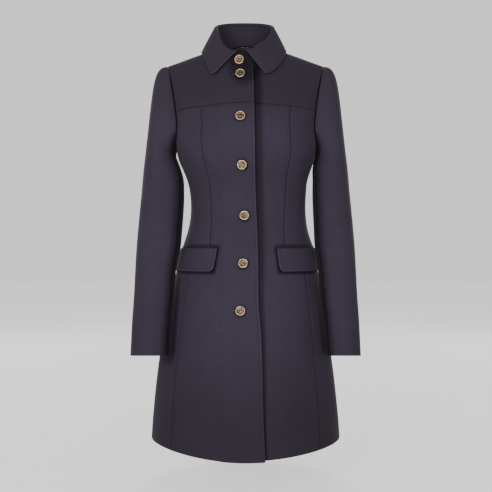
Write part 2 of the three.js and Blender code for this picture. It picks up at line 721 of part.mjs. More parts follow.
// Angle of a neck seam point from the front
function neckAngle(side, point) {
  const y = point.y - RIDGE.y;
  const depth = y < 0 ? NECK_OVAL.front : NECK_OVAL.back;
  return Math.atan2(side * point.x / NECK_OVAL.halfWidth, -y / depth);
}

// Places round the neck, from the left front edge over the back to the right front edge
function neckPlaces() {
  const half = (side) => {
    const columns = [];
    for (let column = 0; column <= NECK_COLUMN; column += 1) {
      columns.push(column);
    }
    for (let column = NECK_COLUMN - 1; column >= 0; column -= 1) {
      columns.push(BACK_COLUMN - column);
    }
    return columns.map((column) => {
      const point = bodyPoint(side, column, TOP_ROW);
      return { side, angle: column === BACK_COLUMN ? Math.PI : neckAngle(side, point) };
    });
  };
  return [...half(1), ...half(-1).reverse().slice(1)];
}

function addStand() {
  const places = neckPlaces();
  const cloth = new Cloth(places.length - 1, STAND_ROWS, (i, j) => (
    { point: standPoint(places[i].side, places[i].angle, j / STAND_ROWS) }
  ));
  cloth.addNormals();
  addMesh('collar_stand', panel(cloth, block(0, places.length - 1, 0, STAND_ROWS)));
}

// Visible face of the collar leaf, from its outer edge up over the roll and into the neck
function leafPoint(side, angle, edge, row) {
  const { point, out, up } = rollFrame(side, angle);
  const centre = point.addScaledVector(out, 1).addScaledVector(up, -ROLL_RADIUS);
  const arcPoint = (turn) => centre.clone()
    .addScaledVector(out, ROLL_RADIUS * Math.cos(turn * DEGREE))
    .addScaledVector(up, ROLL_RADIUS * Math.sin(turn * DEGREE));
  if (row <= LEAF_FALL_ROWS) {
    const start = arcPoint(ROLL_ARC.outer);
    const middle = start.clone().add(edge).multiplyScalar(0.5);
    middle.addScaledVector(out, LEAF_BULGE);
    return new THREE.QuadraticBezierCurve3(edge, middle, start).getPoint(row / LEAF_FALL_ROWS);
  }
  const step = row - LEAF_FALL_ROWS;
  if (step <= ROLL_ARC.steps) {
    return arcPoint(lerp(ROLL_ARC.outer, ROLL_ARC.inner, step / ROLL_ARC.steps));
  }
  return arcPoint(ROLL_ARC.inner).addScaledVector(up, -STAND_TOP_DROP);
}

// Leaf columns stand over the stand's, so that both bend alike along the roll
function addLeaf() {
  const edges = { 1: curvesOf(LEAF_EDGE_LEFT, 'angle'), '-1': curvesOf(LEAF_EDGE_RIGHT, 'angle') };
  const starts = { 1: LEAF_EDGE_LEFT[0].angle, '-1': LEAF_EDGE_RIGHT[0].angle };
  const places = neckPlaces().filter(({ side, angle }) => angle / DEGREE > starts[side] - 1);
  const columns = places.map(({ side, angle }) => {
    const turn = Math.max(angle / DEGREE, starts[side]);
    const over = edges[side].way(turn);
    const behind = over > 1;
    const way = behind ? 2 - over : over;
    const under = shoulderSpot(side, partOut(edges[side].out(turn), way, behind), way, behind);
    const lift = collarLift(side, under.point) + LEAF_AIR + WALL;
    return { side, angle, edge: under.point.addScaledVector(under.normal, lift) };
  });
  const rows = LEAF_FALL_ROWS + ROLL_ARC.steps + 1;
  const cloth = new Cloth(columns.length - 1, rows, (i, j) => (
    { point: leafPoint(columns[i].side, columns[i].angle, columns[i].edge, j) }
  ));
  cloth.addNormals();
  addMesh('collar_leaf', panel(cloth, block(0, columns.length - 1, 0, rows)));
}

// Direction out of a level section
function ringNormal(side, angle, z) {
  const around = ring(side, angle + 0.01, z).sub(ring(side, angle - 0.01, z));
  const along = ring(side, angle, z + 1).sub(ring(side, angle, z - 1));
  return around.cross(along).multiplyScalar(side).normalize();
}

// Pocket flap: its front edge slants outwards and rounds into the lower edge
function addFlap(side, name) {
  const cloth = new Cloth(FLAP.columns, FLAP_ROWS.length - 1, (i, j) => {
    const column = side > 0 ? i : FLAP.columns - i;
    const up = FLAP_ROWS[j];
    const z = POCKET_Z - FLAP.height + up;
    const short = Math.max(FLAP.corner - up, 0);
    const rounding = FLAP.corner - Math.sqrt(FLAP.corner ** 2 - short ** 2);
    const out = FLAP.front + FLAP.slant * (1 - up / FLAP.height) + rounding;
    const angle = lerp(angleOut(out, z, false), FLAP.endAngle * DEGREE, column / FLAP.columns);
    const normal = ringNormal(side, angle, z);
    const point = ring(side, angle, z);
    point.addScaledVector(normal, lapLift(side, point.x) + LAYER_AIR + FLAP.wall);
    return { point, normal };
  }, FLAP.wall);
  addMesh(`pocket_flap_${name}`, panel(cloth, block(0, FLAP.columns, 0, FLAP_ROWS.length - 1)));
}

// Shank button, turned about its own axis, with its foot at the origin
function buttonGeometry() {
  const { radius, shank, shankHeight, edge, height, dish, sides } = BUTTON;
  const outline = [
    [0, 0],
    [shank, 0],
    [shank, shankHeight],
    [radius - 1, shankHeight],
    [radius, edge],
    [radius - 0.5, height - 0.3],
    [radius - 1.6, height],
    [radius - 3, height - dish],
    [0, height - dish * 1.25],
  ];
  const points = outline.map(([x, y]) => new THREE.Vector2(x, y));
  return new THREE.LatheGeometry(points, sides).rotateX(Math.PI / 2);
}

function addButton(number, point, normal) {
  const mesh = addMesh(`button_${number}`, buttonGeometry(), BRASS);
  mesh.position.copy(point).addScaledVector(normal, SEAM_GAP);
  mesh.quaternion.setFromUnitVectors(UP, normal);
}

function addButtons() {
  const angle = STAND_BUTTON.angle * DEGREE;
  const onStand = standPoint(-1, angle, STAND_BUTTON.share);
  const upright = standPoint(-1, angle, 1).sub(standPoint(-1, angle, 0));
  const across = standPoint(-1, angle - 0.02, STAND_BUTTON.share).sub(onStand);
  addButton(1, onStand, across.cross(upright).normalize());
  FRONT_BUTTONS.forEach(({ x, z }, i) => {
    const out = body.sway(z) - x;
    let spot = null;
    if (z > CHEST_Z) {
      const way = solve(0, 1, z, (at) => shoulder(-1, partOut(out, at, false), at, false).z);
      spot = shoulderSpot(-1, partOut(out, way, false), way, false);
    } else {
      const at = angleOut(out, z, false);
      spot = { point: ring(-1, at, z), normal: ringNormal(-1, at, z) };
    }
    addButton(i + 2, spot.point.addScaledVector(spot.normal, lapLift(-1, x)), spot.normal);
  });
}

for (const [side, name] of [[-1, 'right'], [1, 'left']]) {
  addBody(side, name);
  addSleeve(side, name);
  addFlap(side, name);
}
addStand();
addLeaf();
addButtons();

export default coat;
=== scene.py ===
# Fitted overcoat in wool melton, filled out as if worn, with its front to -Y and its own left to +X
import math

import bpy
import numpy as np
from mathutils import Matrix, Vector
from mathutils.kdtree import KDTree


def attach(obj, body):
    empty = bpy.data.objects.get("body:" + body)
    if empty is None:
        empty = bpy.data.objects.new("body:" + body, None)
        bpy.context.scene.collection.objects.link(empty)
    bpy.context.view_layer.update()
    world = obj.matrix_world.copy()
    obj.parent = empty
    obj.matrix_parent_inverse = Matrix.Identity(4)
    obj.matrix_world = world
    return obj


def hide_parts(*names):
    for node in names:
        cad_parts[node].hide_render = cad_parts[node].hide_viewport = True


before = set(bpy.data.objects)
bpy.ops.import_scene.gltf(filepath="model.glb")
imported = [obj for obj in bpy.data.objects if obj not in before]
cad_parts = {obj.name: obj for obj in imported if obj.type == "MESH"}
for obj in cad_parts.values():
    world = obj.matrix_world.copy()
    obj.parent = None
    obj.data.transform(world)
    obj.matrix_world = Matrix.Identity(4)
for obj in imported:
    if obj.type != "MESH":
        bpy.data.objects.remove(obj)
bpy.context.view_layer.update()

# Cloth: all lengths are in millimetres until a mesh is made
WALL = 2.6
SEAM_GAP = 0.3
LAYER_AIR = 0.8
LAP_LIFT = WALL + LAYER_AIR

# Level sections of the body
BODY_NAMES = ("z", "width", "front", "back", "sway", "square")
BODY = [
    (-120, 154, 122, 114, 0, 2.3),
    (-183, 156, 132, 115, 0, 2.3),
    (-216, 156, 135, 112, 1, 2.3),
    (-243, 152, 131, 106, 2, 2.3),
    (-269, 142, 123, 99, 3, 2.25),
    (-295, 133, 112, 92, 4, 2.2),
    (-322, 129, 104, 87, 5, 2.2),
    (-346, 127.5, 100, 85, 5, 2.2),
    (-376, 129, 101, 87, 5, 2.2),
    (-402, 134, 107, 92, 4, 2.2),
    (-444, 148, 120, 106, 3, 2.2),
    (-490, 158, 131, 120, 2, 2.2),
    (-558, 171, 143, 135, 1, 2.15),
    (-684, 192, 156, 155, 0, 2.05),
    (-805, 206, 169, 174, 0, 1.95),
    (-880, 212, 176, 185, 0, 1.9),
]
LOW_Z = BODY[-1][0]

# Seams by height, as parts of the half width
SEAM_NAMES = ("z", "princess", "panel", "back")
SEAMS = [
    (-183, 0.595, 0.962, 0.6),
    (-275, 0.619, 0.93, 0.56),
    (-346, 0.627, 0.88, 0.52),
    (-410, 0.576, 0.82, 0.53),
    (-441, 0.535, 0.795, 0.55),
    (-684, 0.42, 0.771, 0.57),
    (-880, 0.37, 0.742, 0.58),
]

# Closing edge of the right front, by height
LAP_EDGE = [
    (-183, 18.2),
    (-307, 20.3),
    (-445, 25.3),
    (-560, 26.5),
    (-620, 31.5),
    (-684, 33.5),
    (-780, 35.7),
    (-880, 39.5),
]
UNDERLAP_X = -36
# Where the right front rises on to the left one, and how far its edge drifts over the shoulder
LAP_RISE = (-62, -42)
LAP_DRIFT = 0.025
# How far the free edge of the lap stands off, at the neck and at the hem, and from how far in
LAP_OPEN = {"neck": 6.0, "hem": 1.6, "reach": 26}

HEM_Z = -862
HEM_DROP = {-1: 13, 1: 10}
POCKET_Z = -441
CHEST_Z = -183
LEVELS = [
    HEM_Z, -805, -744, -684, -621, -558, -498, POCKET_Z,
    -402, -374, -346, -320, -295, -269, -243, -212, CHEST_Z,
]
POCKET_ROW = LEVELS.index(POCKET_Z)
CHEST_ROW = len(LEVELS) - 1
YOKE_ROW = CHEST_ROW + 2
TOP_ROW = YOKE_ROW + 6

NECK_COLUMN = 6
PRINCESS_COLUMN = 8
ARMHOLE_COLUMN = 10
SIDE_COLUMN = 13
BACK_COLUMN = 2 * SIDE_COLUMN

ARMHOLE_DIP = 37
DIP_END_Z = -300

# Shoulders
RIDGE = {"y": 5, "tip_x": 176, "tip_z": -30.5, "neck_x": 68, "slope": 0.35, "round": 8}
SHOULDER_ARC = {
    "rise": {False: (44, 44), True: (110, 50)},
    "reach": {False: (45, 40), True: (95, 40)},
    "up": {False: 13, True: 29},
    "inset": 6,
    "sink": 10,
}
YOKE_Z = (-136, -142)
NECK_OVAL = {"half": RIDGE["neck_x"], False: 80, True: 57}

# Collar roll line: height by angle from the front, on the right and on the left
ROLL_OVAL = {"half": 63, "x": -3, "depth": 62}
ROLL_NAMES = ("angle", "right", "left")
ROLL_HEIGHT = [
    (-40, -13, -13),
    (0, -12, -12),
    (14, -12.5, -8),
    (24, -11, 0),
    (36, -2, 8),
    (48, 10, 16.5),
    (60, 30, 27),
    (75, 46, 42),
    (90, 57, 57),
    (120, 71, 71),
    (150, 80.5, 80.5),
    (180, 83.5, 83.5),
]
ROLL_RADIUS = WALL + 1
STAND_TOP_DROP = 4
STAND_FOOT_GAP = 0.6
STAND_END_SLANT = 12

# Collar leaf: outer edge by the roll angle it hangs from
LEAF_NAMES = ("angle", "out", "way")
LEAF_EDGE = {
    -1: [
        (14.5, 66, 0.518),
        (20, 74, 0.53),
        (42, 86, 0.67),
        (65, 95, 0.82),
        (90, 98, 0.98),
        (120, 87, 1.11),
        (150, 56, 1.22),
        (165, 30, 1.3),
        (180, 0, 1.36),
    ],
    1: [
        (4, 41, 0.483),
        (24, 57, 0.535),
        (46, 76, 0.66),
        (68, 88, 0.815),
        (90, 90, 0.97),
        (120, 82, 1.11),
        (150, 54, 1.22),
        (165, 29, 1.3),
        (180, 0, 1.36),
    ],
}
LEAF_AIR = 1.6
LEAF_BULGE = 1.6
LEAF_FLARE = {"lift": 3.2, "reach": 22}
# Rounding of each tip
LEAF_TIP = {-1: 4.5, 1: 3.5}
ROLL_ARC = (25, 180)

# Sleeves by height
SLEEVE_NAMES = ("z", "x", "y", "width", "depth", "tilt", "swing")
SLEEVE = [
    (-240, 190, -4, 35.5, 52, 0, 0),
    (-262, 187.8, -7, 39.9, 54, 0.01, 0.4),
    (-285, 187, -10, 42.5, 54.5, 0.02, 1),
    (-320, 188.5, -17, 43, 54, 0.04, 1),
    (-360, 190.6, -29, 43.2, 52, 0.06, 1),
    (-400, 192.3, -44, 43.2, 50, 0.08, 1),
    (-440, 193.2, -60, 43.2, 47, 0.1, 1),
    (-490, 195.4, -78, 41.4, 44, 0.12, 1),
    (-540, 197.2, -92, 40.1, 43, 0.13, 1),
    (-600, 200.5, -102, 39.6, 42, 0.14, 1),
    (-668, 203.5, -108, 39, 41, 0.145, 1),
]
SLEEVE_TOP = -240
CUFF_Z = -668
SLEEVE_SWING = {-1: 2.5, 1: -2.5}
CAP = {"out": 37, "up": 1, "forward": 18, "shoulder_drop": 155, "under_drop": 6, "ease": 1.25}
FRONT_SEAM_ANGLE = 148
BACK_SEAM_ANGLE = 258
# Fullness of the cloth where sleeve and hip rest against each other, by side and height
SLEEVE_FILL = {
    -1: [
        (-668, 0), (-540, 0), (-490, -0.6), (-450, 2.8),
        (-430, 4.4), (-380, 5.4), (-330, 4.4), (-280, 0),
    ],
    1: [
        (-668, 0), (-600, 1.5), (-540, 4), (-490, 3.2),
        (-430, 5), (-380, 4.2), (-330, 2.4), (-290, 0),
    ],
}
HIP_FILL = {
    -1: [(-540, 0), (-480, -2.2), (-440, -2.8), (-420, -1.6), (-380, 0)],
    1: [(-640, 0), (-560, 1.4), (-500, 1.2), (-440, 1.4), (-380, 1.6), (-330, 1.4), (-280, 0)],
}

# Where it sets in and ends: by angle from the front on the hip, by cosine to the body on the sleeve
HIP_WINDOW = ((55, 80), (110, 135))
SLEEVE_INSIDE = (0.1, 0.9)

# Pocket flaps
FLAP = {"front": 62, "slant": 7, "corner": 10, "height": 50, "end": 95, "wall": 3}
WELT = {"height": 4.6, "wall": 1.3, "gap": 0.5, "start": 60}

# Buttons
BUTTON = {"radius": 10.3, "shank": 3, "shank_height": 1.4, "edge": 2.3, "height": 4.4, "dish": 1.2}
STAND_BUTTON = {"angle": 10, "share": 0.38}
# Room below each button for its tilt
BUTTON_AIR = 0.5
# Tilt of each button on its shank, in degrees towards the coat's right side and upwards
BUTTON_TILT = [(5, -11), (0, -10), (1, -4), (9, 12), (0, 8), (0, 5), (0, 12)]
# Middles of the six front buttons, across and up
FRONT_BUTTONS = [(-11.8, -71), (-11, -168), (-7.2, -266), (-2.6, -373), (-5.3, -474), (-10.6, -571)]
BUTTON_SIDES = 56
BUTTONHOLE = {"inset": 8, "half": 9.5, "rise": 1.1, "sink": 0.1, "thread": 0.55, "steps": 32, "sides": 8}

# Distances of the grid lines from an edge, plain and stitched, and between them elsewhere
EDGE_STEPS = (0, 0.5, 1.2, 2.2, 3.8)
STITCH_STEPS = (0, 0.5, 1.2, 2.2, 3.8, 5.2, 6, 6.8, 8.4)
GRID_STEP = 5
STITCH = {"inset": 6, "pitch": 4.2, "length": 2.7, "radius": 0.3, "sink": 0.35, "width": 0.9, "sides": 6}
# The grid line that carries the stitches
STITCH_LINE = STITCH_STEPS.index(STITCH["inset"])
# Rings of one stitch: place along it, thickness and height over the cloth
STITCH_RINGS = ((-1, 0.35, -0.25), (-0.55, 1, 0.1), (0.55, 1, 0.1), (1, 0.35, -0.25))
SEAM = {"sink": 1.15, "width": 1.5, "ridge": 0.3, "ridge_at": 4.6, "ridge_width": 2.4}
# Seams are flatter at the shoulder's tip and at the throat
SEAM_FLAT = {"tip": 0.75, "throat": 0.8}
TIP_WINDOW = {"z": (-80, -45), "x": (120, 140)}
THROAT_WINDOW = {"z": (-62, -50), "x": (38, 50)}
# Where the stand's end comes out of the leaf, by angle from the front
STAND_BARE = (10.5, 14)
# How far the flap's lower edge stands off, and over what height and share of its length
FLAP_OFF = {"lift": 2.2, "rise": (0, 30), "share": (0.35, 0.75)}
HEM = {"extra": 1.5, "height": 38}
# Distance from the front edge at which the lining begins
LINING_START = 75
# Grid lines between two edges, and the lengths that they are laid out over
CHEST_LINES = 46
UNDER_YOKE = {"length": 46, "lines": 5}
OVER_YOKE = {"length": 110, "lines": 20}
SLEEVE_ROUND = {"column": 13, "upper": 44, "under": 22}
SLEEVE_CAP = {"length": 150, "lines": 30}
SLEEVE_TUBE = {"length": SLEEVE_TOP - CUFF_Z, "lines": 78}
STAND_UP = {"length": 40, "lines": 7}
LEAF_FALL = {"length": 68, "lines": 10, "round": 92}
FINE_STEP = 4
WELT_RISE = np.array([0, 0.5, 1.2, 2.3, 3.4, 4.1, WELT["height"]])
WELT_LINES = 46

# Painted shade by place: how much darker cloth is painted where shade falls, up to 1, below 0 painted
# lighter, and how far a painted highlight lightens a free edge
SHADE = {
    "seam": 0.5, "seam_width": 1.5, "stitch": 0.2,
    "worn": 0.24, "worn_at": 0.8, "worn_width": 1.3,
    "inside": 0.6, "stand_inside": 0.05,
    "lap": 0.6, "sleeve": 0.7, "armpit": 0.9, "cap": -0.06, "cuff": 0.12,
    "throat": 0.6, "shoulder": 0.14, "hem": 0.26, "stand": 0.8,
    "flap": 0.95, "flap_top": 1.1, "welt": 0.6, "button": 0.9,
}
# Where each of these shades sets in and where it ends
FADE = {
    "lap": (0.45, 1.1), "throat": (22, 42), "flap": (1, 7), "flap_top": (-2.4, -0.4), "button": (-1, 4.5),
    "hem": (560, 860), "shoulder": (-160, -120), "stand": (30, 45),
    "armpit": (0.5, 1), "armpit_top": (-200, -150), "cap": (-260, -190), "cuff": (470, 640),
}
# Width of the lap's shadow at the hem, and from the given height up
LAP_SHADOW = {"hem": 7, "top": 21, "top_z": -300}
THROAT = {"x": -4, "z": -52, "squash": 0.8}
# Windows of angle from the front and of height where the body beside the sleeve is painted in shade
BESIDE_SLEEVE = ((70, 88), (105, 130))
SLEEVE_HEIGHTS = ((-680, -560), (-190, -150))

DEGREE = math.pi / 180


def lerp(a, b, t):
    return a + (b - a) * t


def smooth(x, low, high):
    t = np.clip((x - low) / (high - low), 0, 1)
    return t * t * (3 - 2 * t)


# Share that rises from 0 to 1 and falls back to 0
def window(x, rise, fall):
    return smooth(x, *rise) * (1 - smooth(x, *fall))


def vec(x, y, z):
    return np.stack(np.broadcast_arrays(x, y, z), axis=-1).astype(float)


def unit(v):
    return v / np.maximum(np.linalg.norm(v, axis=-1, keepdims=True), 1e-9)


# Smooth curve through one column of a table, level at its end where asked
def curve(rows, key, level_end=False):
    rows = sorted(rows)
    along = np.array([row[0] for row in rows], float)
    values = np.array([row[key] for row in rows], float)
    index = np.arange(len(rows))
    before, after = np.maximum(index - 1, 0), np.minimum(index + 1, len(rows) - 1)
    slopes = (values[after] - values[before]) / (along[after] - along[before])
    if level_end:
        slopes[-1] = 0

    def at(x):
        x = np.asarray(x, float)
        i = np.clip(np.searchsorted(along, x, side="right") - 1, 0, len(along) - 2)
        step = along[i + 1] - along[i]
        s = (x - along[i]) / step
        start = s * (1 - s) ** 2 * step * slopes[i]
        end = s * s * (s - 1) * step * slopes[i + 1]
        return lerp(values[i], values[i + 1], s * s * (3 - 2 * s)) + start + end

    return at


def curves(names, rows, level=()):
    return {name: curve(rows, i, name in level) for i, name in enumerate(names) if i}


body = curves(BODY_NAMES, BODY)
seams = curves(SEAM_NAMES, SEAMS)
lap_edge = curve(LAP_EDGE, 1)
roll_height = curves(ROLL_NAMES, ROLL_HEIGHT, ("right", "left"))
leaf_edge = {side: curves(LEAF_NAMES, rows, ("way",)) for side, rows in LEAF_EDGE.items()}
sleeve = curves(SLEEVE_NAMES, SLEEVE)
sleeve_fill = {side: curve(rows, 1) for side, rows in SLEEVE_FILL.items()}
hip_fill = {side: curve(rows, 1) for side, rows in HIP_FILL.items()}


# Values between low and high at which a rising function reaches the target
def solve(low, high, target, rising):
    target = np.asarray(target, float)
    low = np.full(target.shape, float(low))
    high = np.full(target.shape, float(high))
    for _ in range(36):
        middle = (low + high) / 2
        short = rising(middle) < target
        low = np.where(short, middle, low)
        high = np.where(short, high, middle)
    return (low + high) / 2


def bezier(a, b, c, d, t):
    t = np.asarray(t)[..., None]
    s = 1 - t
    return a * s**3 + 3 * b * s * s * t + 3 * c * s * t * t + d * t**3


# Point of a level section of the body
def ring(side, angle, z):
    power = body["square"](z)
    depth = np.where(np.cos(angle) > 0, body["front"](z), body["back"](z))
    across = np.abs(np.sin(angle)) / body["width"](z)
    along = np.abs(np.cos(angle)) / depth
    radius = (across**power + along**power) ** (-1 / power)
    return vec(body["sway"](z) + side * radius * np.sin(angle), -radius * np.cos(angle), z)


def ring_normal(side, angle, z):
    around = ring(side, angle + 0.01, z) - ring(side, angle - 0.01, z)
    along = ring(side, angle, z + 1) - ring(side, angle, z - 1)
    return unit(np.cross(around, along) * np.asarray(side)[..., None])


# Angle at which a level section is a given distance out from its middle
def angle_out(out, z, behind):
    power = body["square"](z)
    part = np.minimum(np.abs(out) / body["width"](z), 1)
    depth = np.where(behind, body["back"](z), body["front"](z))
    angle = np.arctan2(out, depth * (1 - part**power) ** (1 / power))
    return np.where(behind, np.pi - angle, angle)


ARMHOLE_X = float(body["width"](CHEST_Z) * seams["panel"](CHEST_Z))
NECK_PART = RIDGE["neck_x"] / RIDGE["tip_x"]


# Shoulder surface from the chest line over to the ridge, rounded where front and back meet
def shoulder(side, part, way, behind):
    side, part, way, behind = np.broadcast_arrays(side, part, way, behind)
    start = ring(side, angle_out(part * ARMHOLE_X, CHEST_Z, behind), CHEST_Z)
    low = CHEST_Z - 10
    below = ring(side, angle_out(part * ARMHOLE_X, low, behind), low)
    out = np.abs(part)

    def arc(key):
        front, back = SHOULDER_ARC[key][False], SHOULDER_ARC[key][True]
        return np.where(behind, lerp(*back, out * out), lerp(*front, out * out))

    rise, reach = arc("rise"), arc("reach")
    up = np.where(behind, SHOULDER_ARC["up"][True], SHOULDER_ARC["up"][False])
    in_neck = np.maximum(0, 1 - (out / NECK_PART) ** 2) ** 1.5
    ridge_out = np.where(out < NECK_PART, NECK_PART * (1 + (out / NECK_PART) ** 2) / 2, out)
    ridge_z = RIDGE["tip_z"] + RIDGE["slope"] * RIDGE["tip_x"] * (1 - ridge_out)
    end = vec(side * part * RIDGE["tip_x"], RIDGE["y"], ridge_z + up * in_neck)
    leave = start + (start - below) * (rise / 10)[..., None]
    leave[..., 0] = start[..., 0]
    facing = np.where(behind, 1, -1)
    sink = SHOULDER_ARC["sink"] * out
    arrive = end + vec(-side * part * SHOULDER_ARC["inset"], facing * reach, -sink)
    point = bezier(start, leave, arrive, end, way)
    near = np.abs(point[..., 1] - RIDGE["y"])
    point[..., 2] -= sink / reach * (np.hypot(near, RIDGE["round"]) - near)
    return point


def shoulder_spot(side, part, way, behind):
    side, part, way, behind = np.broadcast_arrays(side, part, way, behind)
    step = 0.01
    low = shoulder(side, part, np.maximum(way - step, 0), behind)
    high = shoulder(side, part, np.minimum(way + step, 1), behind)
    around = shoulder(side, part + step, way, behind) - shoulder(side, part - step, way, behind)
    facing = np.where(behind, -side, side)[..., None]
    return shoulder(side, part, way, behind), unit(np.cross(around, high - low) * facing)


def yoke_way(part):
    height = lerp(*YOKE_Z, np.minimum(1, np.abs(part)))
    return solve(0, 1, height, lambda way: shoulder(1, part, way, False)[..., 2])


# Way up the shoulder surface at which the neck seam cuts it, or the ridge outside the neck
def top_way(part, behind):
    reach = np.where(behind, NECK_OVAL[True], NECK_OVAL[False])

    def inside(way):
        at = shoulder(1, part, way, behind)
        return -np.hypot(at[..., 0] / NECK_OVAL["half"], (at[..., 1] - RIDGE["y"]) / reach)

    whole = np.ones_like(part)
    found = solve(0, 1, -whole, inside)
    return np.where(inside(whole) < -0.9999, 1, found)


def edge_out(side, z):
    x = lap_edge(z) if side < 0 else UNDERLAP_X
    return side * (x - body["sway"](z))


# Shoulder part of a column inside the neck, at even angles round the neck oval
def neck_part(column, edge):
    start = np.arcsin(edge / NECK_PART)
    return NECK_PART * np.sin(lerp(start, np.pi / 2, column / NECK_COLUMN))


def part_of(column, edge, princess):
    outside = (column - NECK_COLUMN) / (PRINCESS_COLUMN - NECK_COLUMN)
    inner = neck_part(np.minimum(column, NECK_COLUMN), edge)
    return np.where(column <= NECK_COLUMN, inner, lerp(NECK_PART, princess, outside))


def front_out(side, column, z):
    edge = edge_out(side, z)
    princess = seams["princess"](z) * body["width"](z)
    top_edge = edge_out(side, CHEST_Z) / ARMHOLE_X
    top_princess = seams["princess"](CHEST_Z) * body["width"](CHEST_Z) / ARMHOLE_X
    share = part_of(column, top_edge, top_princess)
    return lerp(edge, princess, (share - top_edge) / (top_princess - top_edge))


def back_out(column, z):
    princess = seams["back"](z) * body["width"](z)
    top_princess = seams["back"](CHEST_Z) * body["width"](CHEST_Z) / ARMHOLE_X
    return princess * part_of(column, 0, top_princess) / top_princess


# Whether a column is on the back, and its number from the middle of front or back
def from_middle(column):
    behind = column > SIDE_COLUMN
    return behind, np.where(behind, BACK_COLUMN - column, column)


def column_angle(side, column, z):
    behind, index = from_middle(column)
    inner = np.where(behind, seams["back"](z), seams["princess"](z))
    near = angle_out(np.where(behind, back_out(index, z), front_out(side, index, z)), z, behind)
    princess = angle_out(inner * body["width"](z), z, behind)
    panel = angle_out(seams["panel"](z) * body["width"](z), z, behind)
    middle = lerp(princess, panel, (index - PRINCESS_COLUMN) / (ARMHOLE_COLUMN - PRINCESS_COLUMN))
    outer = lerp(panel, np.pi / 2, (index - ARMHOLE_COLUMN) / (SIDE_COLUMN - ARMHOLE_COLUMN))
    return np.where(index <= PRINCESS_COLUMN, near, np.where(index <= ARMHOLE_COLUMN, middle, outer))


# Height of a row at a column: the hem falls towards the front and back, the armhole dips
def row_height(side, column, row):
    z = np.interp(row, np.arange(len(LEVELS)), LEVELS)
    from_side = np.minimum(1, np.abs(column - SIDE_COLUMN) / (SIDE_COLUMN - ARMHOLE_COLUMN))
    dip = ARMHOLE_DIP * np.cos(from_side * np.pi / 2)
    dipped = z - dip * np.clip((z - DIP_END_Z) / (CHEST_Z - DIP_END_Z), 0, 1)
    drop = np.where((side < 0) & (column < SIDE_COLUMN), HEM_DROP[-1], HEM_DROP[1])
    fall = drop * np.cos(column_angle(side, column, z)) ** 2
    return dipped - fall * smooth(-z, -POCKET_Z, -HEM_Z)


# Points of the body's reference surface and the directions out of it
def body_spot(side, column, row):
    column, row = np.broadcast_arrays(np.asarray(column, float), np.asarray(row, float))
    point = np.empty(column.shape + (3,))
    normal = np.empty_like(point)
    low = row <= CHEST_ROW
    z = row_height(side, column[low], row[low])
    angle = column_angle(side, column[low], z)
    point[low] = ring(side, angle, z)
    normal[low] = ring_normal(side, angle, z)
    column, row = column[~low], row[~low]
    behind, index = from_middle(column)
    part = ring(1, column_angle(side, column, CHEST_Z), CHEST_Z)[..., 0] / ARMHOLE_X
    climb = (row - CHEST_ROW) / (TOP_ROW - CHEST_ROW)
    drifts = ~behind & (side < 0) & (index < NECK_COLUMN)
    part = part + np.where(drifts, LAP_DRIFT * (1 - index / NECK_COLUMN) * climb, 0)
    yoke, top = yoke_way(part), top_way(part, behind)
    under = yoke * (row - CHEST_ROW) / (YOKE_ROW - CHEST_ROW)
    over = lerp(yoke, top, (row - YOKE_ROW) / (TOP_ROW - YOKE_ROW))
    way = np.where(row <= YOKE_ROW, under, over)
    point[~low], normal[~low] = shoulder_spot(side, part, way, behind)
    return point, normal


# How far the right front is raised over the left one, most along its free edge
def lap_lift(side, x, z):
    edge = lap_edge(np.clip(z, LOW_Z, CHEST_Z))
    open_by = lerp(LAP_OPEN["hem"], LAP_OPEN["neck"], smooth(z, HEM_Z, -150))
    lift = LAP_LIFT * smooth(x, *LAP_RISE)
    lift = lift + open_by * smooth(x, edge - LAP_OPEN["reach"], edge + 4)
    return np.where(side < 0, lift, 0)


def collar_lift(side, point):
    lift = lap_lift(side, point[..., 0], point[..., 2])
    return np.where(point[..., 1] < 0, lift, 0)


# Points close together along the line of a crease
def line_points(spots, place):
    spots = np.array(spots, float)
    t = np.linspace(0, len(spots) - 1, 8 * len(spots))
    table = [(i, *spot) for i, spot in enumerate(spots)]
    return place(*(curve(table, k + 1)(t) for k in range(spots.shape[1])))


def crease_height(points, line, width, height):
    total = np.zeros(points.shape[:-1])
    near = np.all(np.abs(points - line.mean(0)) < np.abs(line - line.mean(0)).max(0) + 3 * width, axis=-1)
    if not near.any():
        return total
    some = points[near]
    best = np.full(len(some), np.inf)
    along = np.zeros(len(some))
    for k in range(len(line) - 1):
        step = line[k + 1] - line[k]
        t = np.clip((some - line[k]) @ step / (step @ step), 0, 1)
        gap = np.linalg.norm(some - line[k] - t[:, None] * step, axis=1)
        closer = gap < best
        best = np.where(closer, gap, best)
        along = np.where(closer, (k + t) / (len(line) - 1), along)
    taper = np.sin(np.pi * np.clip(along, 0, 1)) ** 0.8
    total[near] = height * np.exp(-((best / width) ** 2)) * taper
    return total


